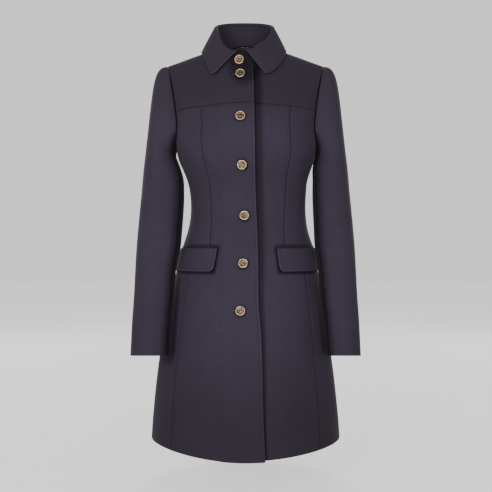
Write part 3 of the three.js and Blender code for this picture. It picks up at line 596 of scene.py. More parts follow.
# Body creases by side: places as angle from the front and height, then half width and rise
BODY_CREASES = {
    -1: [
        ([(84, -322), (60, -341), (34, -347)], 8, -1.1),
        ([(88, -356), (64, -366), (40, -364)], 9, -1.0),
        ([(80, -222), (64, -240), (54, -268)], 9, -1.5),
        ([(70, -205), (56, -226), (50, -246)], 7, 0.8),
        ([(74, -398), (60, -405), (44, -404)], 9, 0.7),
        ([(12, -184), (6, -188), (0, -185)], 2.6, -0.8),
        ([(13, -281), (6, -284), (-1, -281)], 2.8, -0.6),
        ([(11, -389), (3, -392), (-4, -389)], 2.8, -0.6),
        ([(26, -480), (30, -640), (33, -872)], 24, 1.2),
        ([(52, -520), (57, -690), (60, -872)], 20, -1.8),
        ([(74, -560), (78, -720), (80, -870)], 22, 2.6),
        ([(98, -520), (101, -700), (103, -870)], 20, -2.4),
        ([(120, -560), (124, -720), (127, -870)], 24, 3.0),
        ([(146, -500), (148, -690), (150, -872)], 20, -2.2),
        ([(166, -540), (168, -720), (169, -872)], 22, 2.2),
        ([(100, -330), (124, -344), (150, -346)], 9, -1.5),
        ([(96, -362), (122, -372), (152, -370)], 10, -1.3),
        ([(104, -300), (126, -312), (148, -316)], 9, 0.9),
        ([(102, -228), (118, -250), (132, -290)], 11, -1.8),
        ([(96, -250), (108, -276), (118, -306)], 10, 1.0),
    ],
    1: [
        ([(82, -330), (58, -348), (36, -352)], 8, -1.0),
        ([(88, -364), (66, -374), (42, -371)], 9, -1.0),
        ([(80, -220), (64, -244), (55, -272)], 9, -1.4),
        ([(70, -207), (57, -230), (51, -250)], 7, 0.8),
        ([(76, -402), (60, -410), (46, -408)], 9, 0.7),
        ([(20, -500), (25, -650), (28, -868)], 24, 1.2),
        ([(50, -530), (54, -690), (58, -868)], 20, -1.7),
        ([(72, -570), (76, -720), (79, -868)], 22, 2.5),
        ([(95, -520), (99, -700), (101, -866)], 20, -2.4),
        ([(118, -560), (121, -720), (124, -866)], 24, 3.0),
        ([(143, -510), (146, -690), (148, -868)], 20, -2.3),
        ([(164, -540), (166, -720), (168, -870)], 22, 2.3),
        ([(98, -336), (122, -350), (148, -352)], 9, -1.5),
        ([(96, -368), (120, -378), (150, -377)], 10, -1.2),
        ([(102, -306), (126, -318), (150, -321)], 9, 0.9),
        ([(101, -230), (117, -254), (130, -292)], 11, -1.8),
        ([(96, -254), (107, -280), (117, -310)], 10, 1.0),
    ],
}

# Sleeve creases by side: places as turn round the sleeve and height, then half width and rise
SLEEVE_CREASES = {
    -1: [
        ([(150, -356), (112, -374), (66, -366)], 8, -1.9),
        ([(158, -398), (120, -412), (70, -404)], 8, -2.0),
        ([(146, -378), (104, -392), (52, -384)], 7, 1.0),
        ([(140, -432), (104, -446), (58, -440)], 9, -1.4),
        ([(120, -300), (84, -318), (44, -306)], 11, -1.2),
        ([(40, -270), (66, -330), (80, -390)], 13, 1.3),
        ([(30, -470), (54, -540), (62, -630)], 14, -1.3),
        ([(104, -480), (96, -560), (92, -640)], 15, 1.2),
        ([(210, -390), (244, -402), (290, -392)], 10, -1.6),
        ([(214, -430), (248, -440), (296, -430)], 10, 1.1),
        ([(250, -300), (268, -350), (286, -420)], 13, -1.5),
        ([(300, -480), (288, -550), (276, -630)], 14, 1.3),
        ([(330, -300), (344, -360), (350, -430)], 14, -1.2),
    ],
    1: [
        ([(152, -362), (114, -380), (64, -371)], 8, -1.8),
        ([(156, -404), (118, -419), (72, -410)], 8, -1.9),
        ([(146, -384), (102, -398), (50, -390)], 7, 1.0),
        ([(142, -438), (108, -452), (60, -446)], 9, -1.4),
        ([(118, -304), (82, -322), (46, -312)], 11, -1.2),
        ([(38, -276), (62, -334), (78, -396)], 13, 1.3),
        ([(32, -476), (52, -546), (60, -634)], 14, -1.3),
        ([(102, -484), (96, -564), (90, -642)], 15, 1.2),
        ([(212, -394), (246, -408), (292, -398)], 10, -1.6),
        ([(214, -436), (250, -446), (298, -436)], 10, 1.1),
        ([(252, -304), (270, -354), (288, -424)], 13, -1.5),
        ([(302, -484), (290, -554), (278, -632)], 14, 1.3),
        ([(328, -304), (342, -364), (348, -434)], 14, -1.2),
    ],
}


def relief(points, creases, place):
    total = np.zeros(points.shape[:-1])
    for spots, width, height in creases:
        total += crease_height(points, line_points(spots, place), width, height)
    return total


# Distances of grid lines over a stretch, close together at both ends
def spread(length, inner, first, last):
    length = np.asarray(length, float)[..., None]
    first, last = np.array(first), np.array(last)[::-1]
    scale = np.minimum(1, length / (1.6 * (first[-1] + last[0])))
    start = first * scale
    end = length - last * scale
    middle = np.linspace(0, 1, inner + 2)[1:-1]
    between = lerp(start[..., -1:], end[..., :1], middle)
    return np.concatenate([start, between, end], axis=-1)


# The same, as shares of a stretch of known length
def even_shares(stretch, first, last):
    return spread(stretch["length"], stretch["lines"], first, last) / stretch["length"]


def run_length(points):
    steps = np.linalg.norm(np.diff(points, axis=0), axis=-1)
    return np.concatenate([np.zeros((1,) + steps.shape[1:]), np.cumsum(steps, axis=0)])


# Places along each row that lie at even distances, from points sampled along it
def even_places(samples, points, first, last, step=GRID_STEP, start=None):
    along = run_length(points)
    length = along[-1]
    shift = np.zeros_like(length) if start is None else start
    inner = max(1, round(float((length - shift).mean()) / step) - 2)
    places = spread(length - shift, inner, first, last) + shift[:, None]
    return np.array([np.interp(places[k], along[:, k], samples) for k in range(len(length))]).T


# Grid lines across the body, from the hem to the ridge, and where its seams lie among them
def row_lines():
    heights = np.abs(np.diff(LEVELS))
    along = np.concatenate([[0], np.cumsum(heights)])
    pocket = along[POCKET_ROW]
    below = spread(pocket, round(pocket / GRID_STEP), EDGE_STEPS, EDGE_STEPS)
    above = pocket + spread(along[-1] - pocket, CHEST_LINES, EDGE_STEPS, EDGE_STEPS)
    blocks = [
        np.interp(below, along, range(len(LEVELS))),
        np.interp(above, along, range(len(LEVELS))),
        CHEST_ROW + even_shares(UNDER_YOKE, EDGE_STEPS, STITCH_STEPS) * (YOKE_ROW - CHEST_ROW),
        YOKE_ROW + even_shares(OVER_YOKE, EDGE_STEPS, EDGE_STEPS) * (TOP_ROW - YOKE_ROW),
    ]
    marks = [0]
    rows = list(blocks[0])
    for block in blocks[1:]:
        marks.append(len(rows) - 1)
        rows.extend(block[1:])
    marks.append(len(rows) - 1)
    return np.array(rows), dict(zip((0, POCKET_ROW, CHEST_ROW, YOKE_ROW, TOP_ROW), marks))


SEAM_COLUMNS = (
    0, PRINCESS_COLUMN, ARMHOLE_COLUMN, SIDE_COLUMN,
    BACK_COLUMN - ARMHOLE_COLUMN, BACK_COLUMN - PRINCESS_COLUMN, BACK_COLUMN,
)


# Grid lines are also close together where a row of stitching follows a seam or an edge
STITCHED_START = (0, BACK_COLUMN - PRINCESS_COLUMN)
STITCHED_END = (PRINCESS_COLUMN, ARMHOLE_COLUMN)


def facing_angle(side, points):
    return np.degrees(np.arctan2(side * points[..., 0], -points[..., 1]))


def hip_lift(side, points):
    facing = facing_angle(side, points)
    z = np.clip(points[..., 2], HIP_FILL[side][0][0], HIP_FILL[side][-1][0])
    return hip_fill[side](z) * window(facing, *HIP_WINDOW)


# One half of the body as a grid of points and directions, and where its seams lie in it
def body_grid(side):
    rows, row_marks = row_lines()
    blocks, column_marks = [], {0: 0}
    for a, b in zip(SEAM_COLUMNS[:-1], SEAM_COLUMNS[1:]):
        samples = np.linspace(a, b, 25)
        outside = b <= ARMHOLE_COLUMN or a >= BACK_COLUMN - ARMHOLE_COLUMN
        over = rows if outside else np.minimum(rows, CHEST_ROW)
        points, _ = body_spot(side, samples[:, None], over[None, :])
        first = STITCH_STEPS if a in STITCHED_START else EDGE_STEPS
        last = STITCH_STEPS if b in STITCHED_END else EDGE_STEPS
        block = even_places(samples, points, first, last)
        block[0], block[-1] = a, b
        blocks.append(block if a == 0 else block[1:])
        column_marks[b] = sum(len(one) for one in blocks) - 1
    columns = np.concatenate(blocks)
    row_grid = np.broadcast_to(rows, columns.shape)
    cloth = (columns > ARMHOLE_COLUMN) & (columns < BACK_COLUMN - ARMHOLE_COLUMN)
    lowered = np.where(cloth, np.minimum(row_grid, CHEST_ROW), row_grid)
    points, normals = body_spot(side, columns, lowered)
    lift = np.where(columns <= ARMHOLE_COLUMN, lap_lift(side, points[..., 0], points[..., 2]), 0)
    lift = lift + relief(points, BODY_CREASES[side], lambda a, z: ring(side, a * DEGREE, z))
    lift = lift + hip_lift(side, points)
    return points + normals * lift[..., None], normals, column_marks, row_marks


# Seam profile of the outer face, by distance from the edge
def seam_sink(gap):
    groove = SEAM["sink"] * np.exp(-((gap / SEAM["width"]) ** 2))
    ridge = SEAM["ridge"] * np.exp(-(((gap - SEAM["ridge_at"]) / SEAM["ridge_width"]) ** 2))
    return groove - ridge


# Share of that profile at each point
def seam_share(points):
    x, y, z = points[..., 0], points[..., 1], points[..., 2]
    at_tip = smooth(z, *TIP_WINDOW["z"]) * smooth(np.abs(x), *TIP_WINDOW["x"])
    at_throat = smooth(z, *THROAT_WINDOW["z"]) * (1 - smooth(np.abs(x), *THROAT_WINDOW["x"])) * (y < 0)
    return 1 - np.maximum(SEAM_FLAT["tip"] * at_tip, SEAM_FLAT["throat"] * at_throat)


# Rounding of a free edge, taken from both faces
def free_sink(gap, wall):
    radius = wall / 2
    short = np.clip(radius - gap, 0, radius)
    return 0.85 * (radius - np.sqrt(radius**2 - short**2))


# Distance of each chosen point from the nearest marked one
def border_gaps(points, chosen, marked):
    spots = points[marked]
    tree = KDTree(len(spots))
    for k, spot in enumerate(spots):
        tree.insert(spot, k)
    tree.balance()
    gaps = np.full(chosen.shape, 1e3)
    gaps[chosen] = [tree.find(spot)[2] for spot in points[chosen]]
    return gaps


# Closed thin cloth over a grid or chosen cells of it, with seams, rounded edges and a lining
def shell(
    name, points, normals, cells, free, flip=False, wall=WALL, seam=1, stitched=None,
    lined=None, thicker=None, shade=0, worn=SHADE["worn"], inside=SHADE["inside"],
):
    n, m = points.shape[:2]
    if cells is None:
        cells = np.ones((n - 1, m - 1), bool)
    touched = np.zeros((n + 1, m + 1), int)
    for di in (0, 1):
        for dj in (0, 1):
            touched[di:di + n - 1, dj:dj + m - 1] += cells
    touched = touched[:n, :m]
    used = touched > 0
    padded = np.zeros((n + 1, m + 1), bool)
    padded[1:n, 1:m] = cells
    border = np.zeros((n, m), bool)
    walls = []
    corner = np.arange(n * m).reshape(n, m)
    # Each side of a cell: its two corners, and the cell beyond it
    for a, b, beyond in (
        ((0, 0), (1, 0), (0, -1)),
        ((1, 0), (1, 1), (1, 0)),
        ((1, 1), (0, 1), (0, 1)),
        ((0, 1), (0, 0), (-1, 0)),
    ):
        i, j = np.nonzero(cells & ~padded[1 + beyond[0]:n + beyond[0], 1 + beyond[1]:m + beyond[1]])
        start = corner[i + a[0], j + a[1]]
        end = corner[i + b[0], j + b[1]]
        border.ravel()[start] = True
        border.ravel()[end] = True
        walls.append(np.stack([start, end], axis=1))
    walls = np.concatenate(walls)

    outer_sink = np.zeros((n, m))
    inner_rise = np.zeros((n, m))
    # Painted shade in seams, stitch lines and covered places, and a painted highlight along free edges
    painted_light_and_shade = np.zeros((n, m)) + shade
    free_border = border & free
    seam_border = border & ~free
    if free_border.any():
        gap = border_gaps(points, used, free_border)
        outer_sink += free_sink(gap, wall)
        inner_rise += free_sink(gap, wall)
        painted_light_and_shade -= worn * np.exp(-(((gap - SHADE["worn_at"]) / SHADE["worn_width"]) ** 2))
    if stitched is not None and (border & stitched).any():
        inset = border_gaps(points, used, border & stitched)
        line = np.exp(-(((inset - STITCH["inset"]) / STITCH["width"]) ** 2))
        outer_sink += STITCH["sink"] * line
        painted_light_and_shade += SHADE["stitch"] * line
    if seam is not None and seam_border.any():
        gap = border_gaps(points, used, seam_border)
        outer_sink += seam * seam_sink(gap)
        painted_light_and_shade += SHADE["seam"] * seam * np.exp(-((gap / SHADE["seam_width"]) ** 2))
    depth = np.full((n, m), float(wall)) if thicker is None else wall + thicker
    outer = points - normals * outer_sink[..., None]
    inner = points - normals * (depth - inner_rise)[..., None]

    # Draw each outer edge in by half a seam gap: the inner edges meet, so no light comes through
    centre = np.zeros((n, m, 3))
    middles = (points[:-1, :-1] + points[1:, :-1] + points[:-1, 1:] + points[1:, 1:]) / 4
    for di in (0, 1):
        for dj in (0, 1):
            centre[di:di + n - 1, dj:dj + m - 1] += np.where(cells[..., None], middles, 0)
    inward = unit(centre / np.maximum(touched, 1)[..., None] - points) * (SEAM_GAP / 2)
    shift = np.where((border & used)[..., None], inward, 0)
    outer += shift

    number = np.full(n * m, -1)
    kept = np.flatnonzero(used.ravel())
    number[kept] = np.arange(len(kept))
    count = len(kept)
    spots = np.concatenate([outer.reshape(-1, 3)[kept], inner.reshape(-1, 3)[kept]])
    i, j = np.nonzero(cells)
    around = [corner[i, j], corner[i + 1, j], corner[i + 1, j + 1], corner[i, j + 1]]
    quads = number[np.stack(around, axis=1)]
    start, end = number[walls[:, 0]], number[walls[:, 1]]
    sides = np.stack([end, start, start + count, end + count], axis=1)
    faces = np.concatenate([quads, quads[:, ::-1] + count, sides])
    if flip:
        faces = faces[:, ::-1]
    kinds = np.zeros(len(faces), int)
    if lined is not None:
        kinds[len(quads):2 * len(quads)] = lined[i, j] & lined[i + 1, j + 1]
    along = run_length(points)
    up = run_length(points.swapaxes(0, 1)).T
    cloth = np.stack([along.ravel()[kept], up.ravel()[kept]], axis=1) / 1000
    cloth = np.concatenate([cloth, cloth])
    obj = make_mesh(name, spots, faces.tolist(), cloth)
    # Inner faces get a flat painted shade
    shaded = np.concatenate([np.clip(painted_light_and_shade.ravel()[kept], -1, 1), np.full(count, inside)])
    layer = obj.data.attributes.new("painted_light_and_shade", "FLOAT", "POINT")
    layer.data.foreach_set("value", shaded.astype(np.float32))
    for finish in (MELTON, LINING) if lined is not None else (MELTON,):
        obj.data.materials.append(finish)
    obj.data.polygons.foreach_set("material_index", kinds.astype(np.int32))
    return obj, outer


def add_object(name, data):
    obj = bpy.data.objects.new(name, data)
    bpy.context.scene.collection.objects.link(obj)
    return obj


# Smooth mesh from points in millimetres, with cloth lengths as its flat coordinates
def make_mesh(name, spots, faces, cloth=None):
    mesh = bpy.data.meshes.new(name)
    mesh.from_pydata((np.asarray(spots) / 1000).tolist(), [], faces)
    mesh.polygons.foreach_set("use_smooth", np.ones(len(mesh.polygons), bool))
    if cloth is not None:
        layer = mesh.uv_layers.new(name="cloth")
        loops = np.empty(len(mesh.loops), np.int32)
        mesh.loops.foreach_get("vertex_index", loops)
        layer.data.foreach_set("uv", cloth[loops].astype(np.float32).ravel())
    mesh.update()
    return add_object(name, mesh)


# Let a piece ride on the coat, and stand for its solid where it has one
def dress(obj, node=None):
    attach(obj, "root")
    if node:
        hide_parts(node)
    return obj


def spot_along(values, along, place):
    return np.array([np.interp(place, along, values[:, c]) for c in range(3)])


def circle(middle, radius, across, up, sides):
    turns = 2 * np.pi * np.arange(sides)[:, None] / sides
    return middle + (across * np.cos(turns) + up * np.sin(turns)) * radius


# Rings joined into a tube that closes on itself or is capped at both ends
def add_tube(spots, faces, rings, closed):
    sides = len(rings[0])
    starts = [len(spots) + k * sides for k in range(len(rings))]
    for one in rings:
        spots.extend(one)
    following = starts[1:] + starts[:1] if closed else starts[1:]
    for a, b in zip(starts, following):
        for s in range(sides):
            t = (s + 1) % sides
            faces.append([a + s, b + s, b + t, a + t])
    if not closed:
        faces.append([starts[0] + s for s in range(sides)])
        faces.append([starts[-1] + s for s in reversed(range(sides))])


# Short stitches along a line of points on the cloth
def stitches(name, lines):
    spots, faces = [], []
    for line, normals in lines:
        along = run_length(line)
        for k in range(int(along[-1] / STITCH["pitch"])):
            at = (k + 0.5) * STITCH["pitch"]
            before, after = spot_along(line, along, at - 0.5), spot_along(line, along, at + 0.5)
            out = unit(spot_along(normals, along, at))
            way = unit(after - before)
            across = unit(np.cross(out, way))
            rings = []
            for share, thick, sink in STITCH_RINGS:
                middle = (before + after) / 2 + way * share * STITCH["length"] / 2 + out * sink
                rings.append(circle(middle, STITCH["radius"] * thick, across, out, STITCH["sides"]))
            add_tube(spots, faces, rings, False)
    obj = make_mesh(name, spots, faces)
    obj.data.materials.append(THREAD)
    return dress(obj)


# Materials
def node_material(name):
    material = bpy.data.materials.new(name)
    material.use_nodes = True
    tree = material.node_tree
    return material, tree, tree.nodes["Principled BSDF"]


def link(tree, a, b):
    tree.links.new(a, b)


def put(node, values):
    for name, value in values.items():
        node.inputs[name].default_value = value


def tinted(colour, factor):
    return tuple(part * factor for part in colour)


# One step of arithmetic on an output, with a number or another output
def math_node(tree, operation, a, b):
    node = tree.nodes.new("ShaderNodeMath")
    node.operation = operation
    link(tree, a, node.inputs[0])
    if isinstance(b, float):
        node.inputs[1].default_value = b
    else:
        link(tree, b, node.inputs[1])
    return node.outputs[0]


def noise_node(tree, coordinates, scale, detail=3.0, roughness=0.55):
    node = tree.nodes.new("ShaderNodeTexNoise")
    put(node, {"Scale": scale, "Detail": detail, "Roughness": roughness})
    link(tree, coordinates, node.inputs["Vector"])
    return node.outputs["Fac"]


def mix_colour(tree, fac, a, b):
    node = tree.nodes.new("ShaderNodeMix")
    node.data_type = "RGBA"
    for value, socket in ((a, node.inputs[6]), (b, node.inputs[7])):
        if isinstance(value, tuple):
            socket.default_value = (*value, 1)
        else:
            link(tree, value, socket)
    link(tree, fac, node.inputs[0])
    return node.outputs[2]


def ramp(tree, fac, low, high):
    node = tree.nodes.new("ShaderNodeMapRange")
    put(node, {"From Min": low, "From Max": high})
    link(tree, fac, node.inputs["Value"])
    return node.outputs["Result"]


def bump(tree, height, strength, distance, normal=None):
    node = tree.nodes.new("ShaderNodeBump")
    put(node, {"Strength": strength, "Distance": distance})
    link(tree, height, node.inputs["Height"])
    if normal is not None:
        link(tree, normal, node.inputs["Normal"])
    return node.outputs["Normal"]


def wool(name, plum, brown, nap=1.0):
    material, tree, shader = node_material(name)
    coordinates = tree.nodes.new("ShaderNodeTexCoord")
    place = coordinates.outputs["Object"]
    weave_place = coordinates.outputs["UV"]
    # Broad changes of tint, greyer and darker towards the shoulders and the hem as painted shade where the
    # light falls off, mixed with a random tint
    split = tree.nodes.new("ShaderNodeSeparateXYZ")
    link(tree, place, split.inputs[0])
    low = ramp(tree, split.outputs["Z"], -0.6, -0.8)
    high = ramp(tree, split.outputs["Z"], -0.2, -0.1)
    ends = math_node(tree, "MAXIMUM", low, high)
    broad = ramp(tree, noise_node(tree, place, 11, 2), 0.3, 0.7)
    tone = tree.nodes.new("ShaderNodeMix")
    tone.inputs[0].default_value = 0.45
    link(tree, ends, tone.inputs[2])
    link(tree, broad, tone.inputs[3])
    base = mix_colour(tree, tone.outputs[0], plum, brown)
    # Fibres: light and dark flecks a millimetre or so across
    flecks = ramp(tree, noise_node(tree, place, 650, 4, 0.7), 0.35, 0.7)
    base = mix_colour(tree, math_node(tree, "MULTIPLY", flecks, 0.35), base, tinted(plum, 1.8))
    patch = ramp(tree, noise_node(tree, place, 70, 3, 0.6), 0.3, 0.75)
    base = mix_colour(tree, math_node(tree, "MULTIPLY", patch, 0.3), base, tinted(plum, 0.72))
    # Painted shade: darker in seams, folds and covered places; painted highlight: lighter along free edges
    painted_light_and_shade = tree.nodes.new("ShaderNodeAttribute")
    painted_light_and_shade.attribute_name = "painted_light_and_shade"
    base = mix_colour(tree, painted_light_and_shade.outputs["Fac"], base, tinted(plum, 0.08))
    worn = ramp(tree, painted_light_and_shade.outputs["Fac"], 0, -1)
    base = mix_colour(tree, worn, base, tinted(plum, 2.6))
    link(tree, base, shader.inputs["Base Color"])
    link(tree, ramp(tree, flecks, -6.0, 1.2), shader.inputs["Roughness"])
    # Weave under the nap, then the nap
    weave = tree.nodes.new("ShaderNodeTexWave")
    weave.wave_type = "BANDS"
    weave.bands_direction = "DIAGONAL"
    put(weave, {"Scale": 240, "Distortion": 3.5, "Detail": 2})
    link(tree, weave_place, weave.inputs["Vector"])
    relief_normal = bump(tree, weave.outputs["Fac"], 0.12 * nap, 0.0004)
    soft = noise_node(tree, place, 160, 4, 0.6)
    relief_normal = bump(tree, soft, 0.16 * nap, 0.0012, relief_normal)
    fine = noise_node(tree, place, 1100, 4, 0.75)
    relief_normal = bump(tree, fine, 0.3 * nap, 0.0006, relief_normal)
    link(tree, relief_normal, shader.inputs["Normal"])
    put(shader, {"Sheen Weight": 0.035, "Sheen Roughness": 0.45, "Sheen Tint": (0.62, 0.52, 0.66, 1)})
    put(shader, {"Specular IOR Level": 0.06})
    return material


def lining_material():
    material, tree, shader = node_material("lining_satin")
    coordinates = tree.nodes.new("ShaderNodeTexCoord")
    wave = tree.nodes.new("ShaderNodeTexWave")
    put(wave, {"Scale": 900, "Distortion": 0.6})
    link(tree, coordinates.outputs["UV"], wave.inputs["Vector"])
    link(tree, bump(tree, wave.outputs["Fac"], 0.08, 0.0002), shader.inputs["Normal"])
    tint = ramp(tree, noise_node(tree, coordinates.outputs["Object"], 14, 3), 0.3, 0.7)
    colour = mix_colour(tree, tint, (0.010, 0.007, 0.012), (0.016, 0.011, 0.018))
    link(tree, colour, shader.inputs["Base Color"])
    put(shader, {"Roughness": 0.38})
    return material


def metal(name, light, dark, roughness, scale, depth):
    material, tree, shader = node_material(name)
    coordinates = tree.nodes.new("ShaderNodeTexCoord")
    place = coordinates.outputs["Object"]
    patina = ramp(tree, noise_node(tree, place, scale, 4, 0.6), 0.35, 0.65)
    link(tree, mix_colour(tree, patina, light, dark), shader.inputs["Base Color"])
    grain = noise_node(tree, place, 1800, 3, 0.6)
    link(tree, ramp(tree, grain, -1.2 * roughness, 1 + roughness), shader.inputs["Roughness"])
    pits = noise_node(tree, place, scale * 1.6, 4, 0.6)
    link(tree, bump(tree, pits, depth, 0.0003), shader.inputs["Normal"])
    put(shader, {"Metallic": 1.0})
    return material


MELTON = wool("melton_cloth", (0.0118, 0.0090, 0.0150), (0.0088, 0.0068, 0.0088))
LINING = lining_material()
THREAD = wool("melton_thread", (0.016, 0.012, 0.019), (0.013, 0.010, 0.014), 0.6)
RIM = metal("button_rim", (0.34, 0.28, 0.2), (0.09, 0.055, 0.03), 0.22, 380, 0.15)
FACE = metal("button_face", (0.11, 0.078, 0.05), (0.012, 0.007, 0.004), 0.3, 300, 0.5)


# Cells of a grid inside the given blocks of columns and rows
def cells_of(grid_shape, columns, rows, blocks):
    cells = np.zeros((grid_shape[0] - 1, grid_shape[1] - 1), bool)
    for a, b, low, high in blocks:
        cells[columns[a]:columns[b], rows[low]:rows[high]] = True
    return cells


# Shadow under the collar at the throat
def throat_shade(points):
    above = THROAT["squash"] * (points[..., 2] - THROAT["z"])
    gap = np.hypot(points[..., 0] - THROAT["x"], above)
    return SHADE["throat"] * (1 - smooth(gap, *FADE["throat"])) * (points[..., 1] < 0)


# Shadow on the cloth round a flap, by distance from its outline
def flap_shade(side, points):
    z = points[..., 2]
    edge = FLAP["front"] + FLAP["slant"] * np.clip((POCKET_Z - z) / FLAP["height"], 0, 1)
    ahead = np.maximum(edge - (points[..., 0] - body["sway"](z)) * side, 0)
    below = np.maximum(POCKET_Z - FLAP["height"] - z, 0)
    above = np.maximum(z - POCKET_Z - WELT["height"], 0)
    past_by = np.maximum(facing_angle(side, points) - FLAP["end"], 0) * DEGREE
    past = past_by * np.hypot(points[..., 0], points[..., 1])
    gap = np.hypot(np.maximum(ahead, past), np.maximum(below, 3.5 * above))
    return SHADE["flap"] * (1 - smooth(gap, *FADE["flap"]))


# Painted shadow on the cloth round each front button
def button_shade(points):
    total = np.zeros(points.shape[:-1])
    for x, z in FRONT_BUTTONS:
        spot, _ = front_button_spot(x, z)
        gap = np.linalg.norm(points - spot, axis=-1) - BUTTON["radius"]
        total = np.maximum(total, SHADE["button"] * (1 - smooth(gap, *FADE["button"])))
    return total


# Painted shade on one half of the body: under the lap, beside the sleeve, at the throat, round the flap and
# the buttons, towards the hem and on the shoulders
def body_shade(side, points):
    x, y, z = points[..., 0], points[..., 1], points[..., 2]
    shade = throat_shade(points) + flap_shade(side, points)
    if side > 0:
        wide = lerp(LAP_SHADOW["hem"], LAP_SHADOW["top"], smooth(z, HEM_Z, LAP_SHADOW["top_z"]))
        from_lap = (x - lap_edge(np.clip(z, LOW_Z, CHEST_Z))) / wide
        shade += SHADE["lap"] * (1 - smooth(from_lap, *FADE["lap"])) * (y < 0)
    else:
        shade += button_shade(points)
    by_sleeve = window(facing_angle(side, points), *BESIDE_SLEEVE) * window(z, *SLEEVE_HEIGHTS)
    shade += SHADE["sleeve"] * by_sleeve
    shade += SHADE["hem"] * smooth(-z, *FADE["hem"])
    return shade + SHADE["shoulder"] * smooth(z, *FADE["shoulder"])


# Columns and rows that each panel of the body covers
PANELS = {
    "front": [(0, PRINCESS_COLUMN, 0, YOKE_ROW), (PRINCESS_COLUMN, ARMHOLE_COLUMN, 0, POCKET_ROW)],
    "side_front": [
        (PRINCESS_COLUMN, ARMHOLE_COLUMN, POCKET_ROW, YOKE_ROW),
        (ARMHOLE_COLUMN, SIDE_COLUMN, 0, CHEST_ROW),
    ],
    "front_yoke": [(0, ARMHOLE_COLUMN, YOKE_ROW, TOP_ROW)],
    "side_back": [
        (SIDE_COLUMN, BACK_COLUMN - ARMHOLE_COLUMN, 0, CHEST_ROW),
        (BACK_COLUMN - ARMHOLE_COLUMN, BACK_COLUMN - PRINCESS_COLUMN, 0, TOP_ROW),
    ],
    "back": [(BACK_COLUMN - PRINCESS_COLUMN, BACK_COLUMN, 0, TOP_ROW)],
}


# Extra thickness of the turned hem or cuff, by distance from its edge
def hem_extra(gap):
    return HEM["extra"] * (1 - smooth(gap, HEM["height"] - 4, HEM["height"])) * smooth(gap, 0, 3)


def dress_body(side, name):
    points, normals, columns, rows = body_grid(side)
    shape = points.shape[:2]
    column, row = np.indices(shape)
    free = (row == 0) | (column == 0)
    yoke, pocket, top = rows[YOKE_ROW], rows[POCKET_ROW], rows[TOP_ROW]
    princess, armhole = columns[PRINCESS_COLUMN], columns[ARMHOLE_COLUMN]
    back = columns[BACK_COLUMN - PRINCESS_COLUMN]
    edge = column == 0
    by_panel = ((column == princess) & (row >= pocket)) | ((column == armhole) & (row <= pocket))
    sewn = {
        "front": edge | by_panel | ((row == yoke) & (column <= armhole)),
        "front_yoke": edge,
        "back": column == back,
    }
    up = run_length(points.swapaxes(0, 1)).T
    thicker = hem_extra(up)
    lined = (up > HEM["height"]) & (run_length(points) > LINING_START)
    shade = body_shade(side, points)
    made, outer = {}, {}
    for panel, blocks in PANELS.items():
        cells = cells_of(shape, columns, rows, blocks)
        obj, outer[panel] = shell(
            f"cloth_{panel}_{name}", points, normals, cells, free, flip=side < 0,
            seam=seam_share(points), stitched=sewn.get(panel), lined=lined, thicker=thicker,
            shade=shade,
        )
        dress(obj, f"{panel}_{name}")
        made[panel] = obj
    k = STITCH_LINE
    lines = [
        (outer["front"], princess - k, slice(pocket + 1, yoke - k + 1)),
        (outer["front"], slice(k if side < 0 else k + 8, armhole - 1), yoke - k),
        (outer["front"], armhole - k, slice(1, pocket - 2)),
        (outer["back"], back + k, slice(1, top - 1)),
    ]
    if side < 0:
        lines.append((outer["front"], k, slice(1, yoke)))
        lines.append((outer["front_yoke"], k, slice(yoke, top - 1)))
    lines = [(grid[i, j], normals[i, j]) for grid, i, j in lines]
    made["stitches"] = stitches(f"stitches_{name}", lines)
    return made


# Edge of the armhole, by distance round it from the shoulder tip down the front
ARMHOLE_SPAN = TOP_ROW - CHEST_ROW
ARMHOLE_COUNT = 2 * ARMHOLE_SPAN + BACK_COLUMN - 2 * ARMHOLE_COLUMN


def armhole_point(side, t):
    t = np.mod(t, ARMHOLE_COUNT)
    under_end = ARMHOLE_COUNT - ARMHOLE_SPAN
    column = np.clip(ARMHOLE_COLUMN + t - ARMHOLE_SPAN, ARMHOLE_COLUMN, BACK_COLUMN - ARMHOLE_COLUMN)
    behind = np.where(t > under_end, CHEST_ROW + t - under_end, CHEST_ROW)
    row = np.where(t < ARMHOLE_SPAN, TOP_ROW - t, behind)
    return body_spot(side, column, row)[0]


def sleeve_ring(side, turn, z):
    widen = sleeve["swing"](z) * SLEEVE_SWING[side]
    forward = np.sin(turn) * sleeve["depth"](z)
    out = sleeve["x"](z) - widen + np.cos(turn) * (sleeve["width"](z) + widen)
    return vec(side * out, sleeve["y"](z) - forward, z + forward * sleeve["tilt"](z))


# Sleeve surface: climb 0 to 1 over the cap, then on to the cuff at 2
def sleeve_surface(side, start, turn, climb):
    outer = (1 + np.cos(turn)) / 2
    leave = vec(
        side * CAP["out"] * outer**0.7,
        -CAP["forward"] * np.sin(turn),
        CAP["up"] * outer**4 - CAP["under_drop"] * (1 - outer),
    )
    seam_point = start + unit(leave) * SEAM_GAP
    end = sleeve_ring(side, turn, SLEEVE_TOP)
    drop = lerp(CAP["under_drop"], CAP["shoulder_drop"], outer)
    below = sleeve_ring(side, turn, SLEEVE_TOP - 1) - end
    arrive = end - below * drop[..., None]
    cap = bezier(seam_point, start + leave, arrive, end, np.minimum(climb, 1) ** CAP["ease"])
    tube = sleeve_ring(side, turn, lerp(SLEEVE_TOP, CUFF_Z, np.maximum(climb - 1, 0)))
    return np.where((climb <= 1)[..., None], cap, tube)


# Points on the first and last lines of a grid, each way
def grid_ends(points):
    n, m = points.shape[:2]
    first, second = np.indices((n, m))
    return first == 0, first == n - 1, second == 0, second == m - 1


def grid_normals(points, loop=False):
    if loop:
        body_part = points[:-1]
        around = np.roll(body_part, -1, axis=0) - np.roll(body_part, 1, axis=0)
        around = np.concatenate([around, around[:1]])
    else:
        around = np.gradient(points, axis=0)
    return unit(np.cross(around, np.gradient(points, axis=1)))


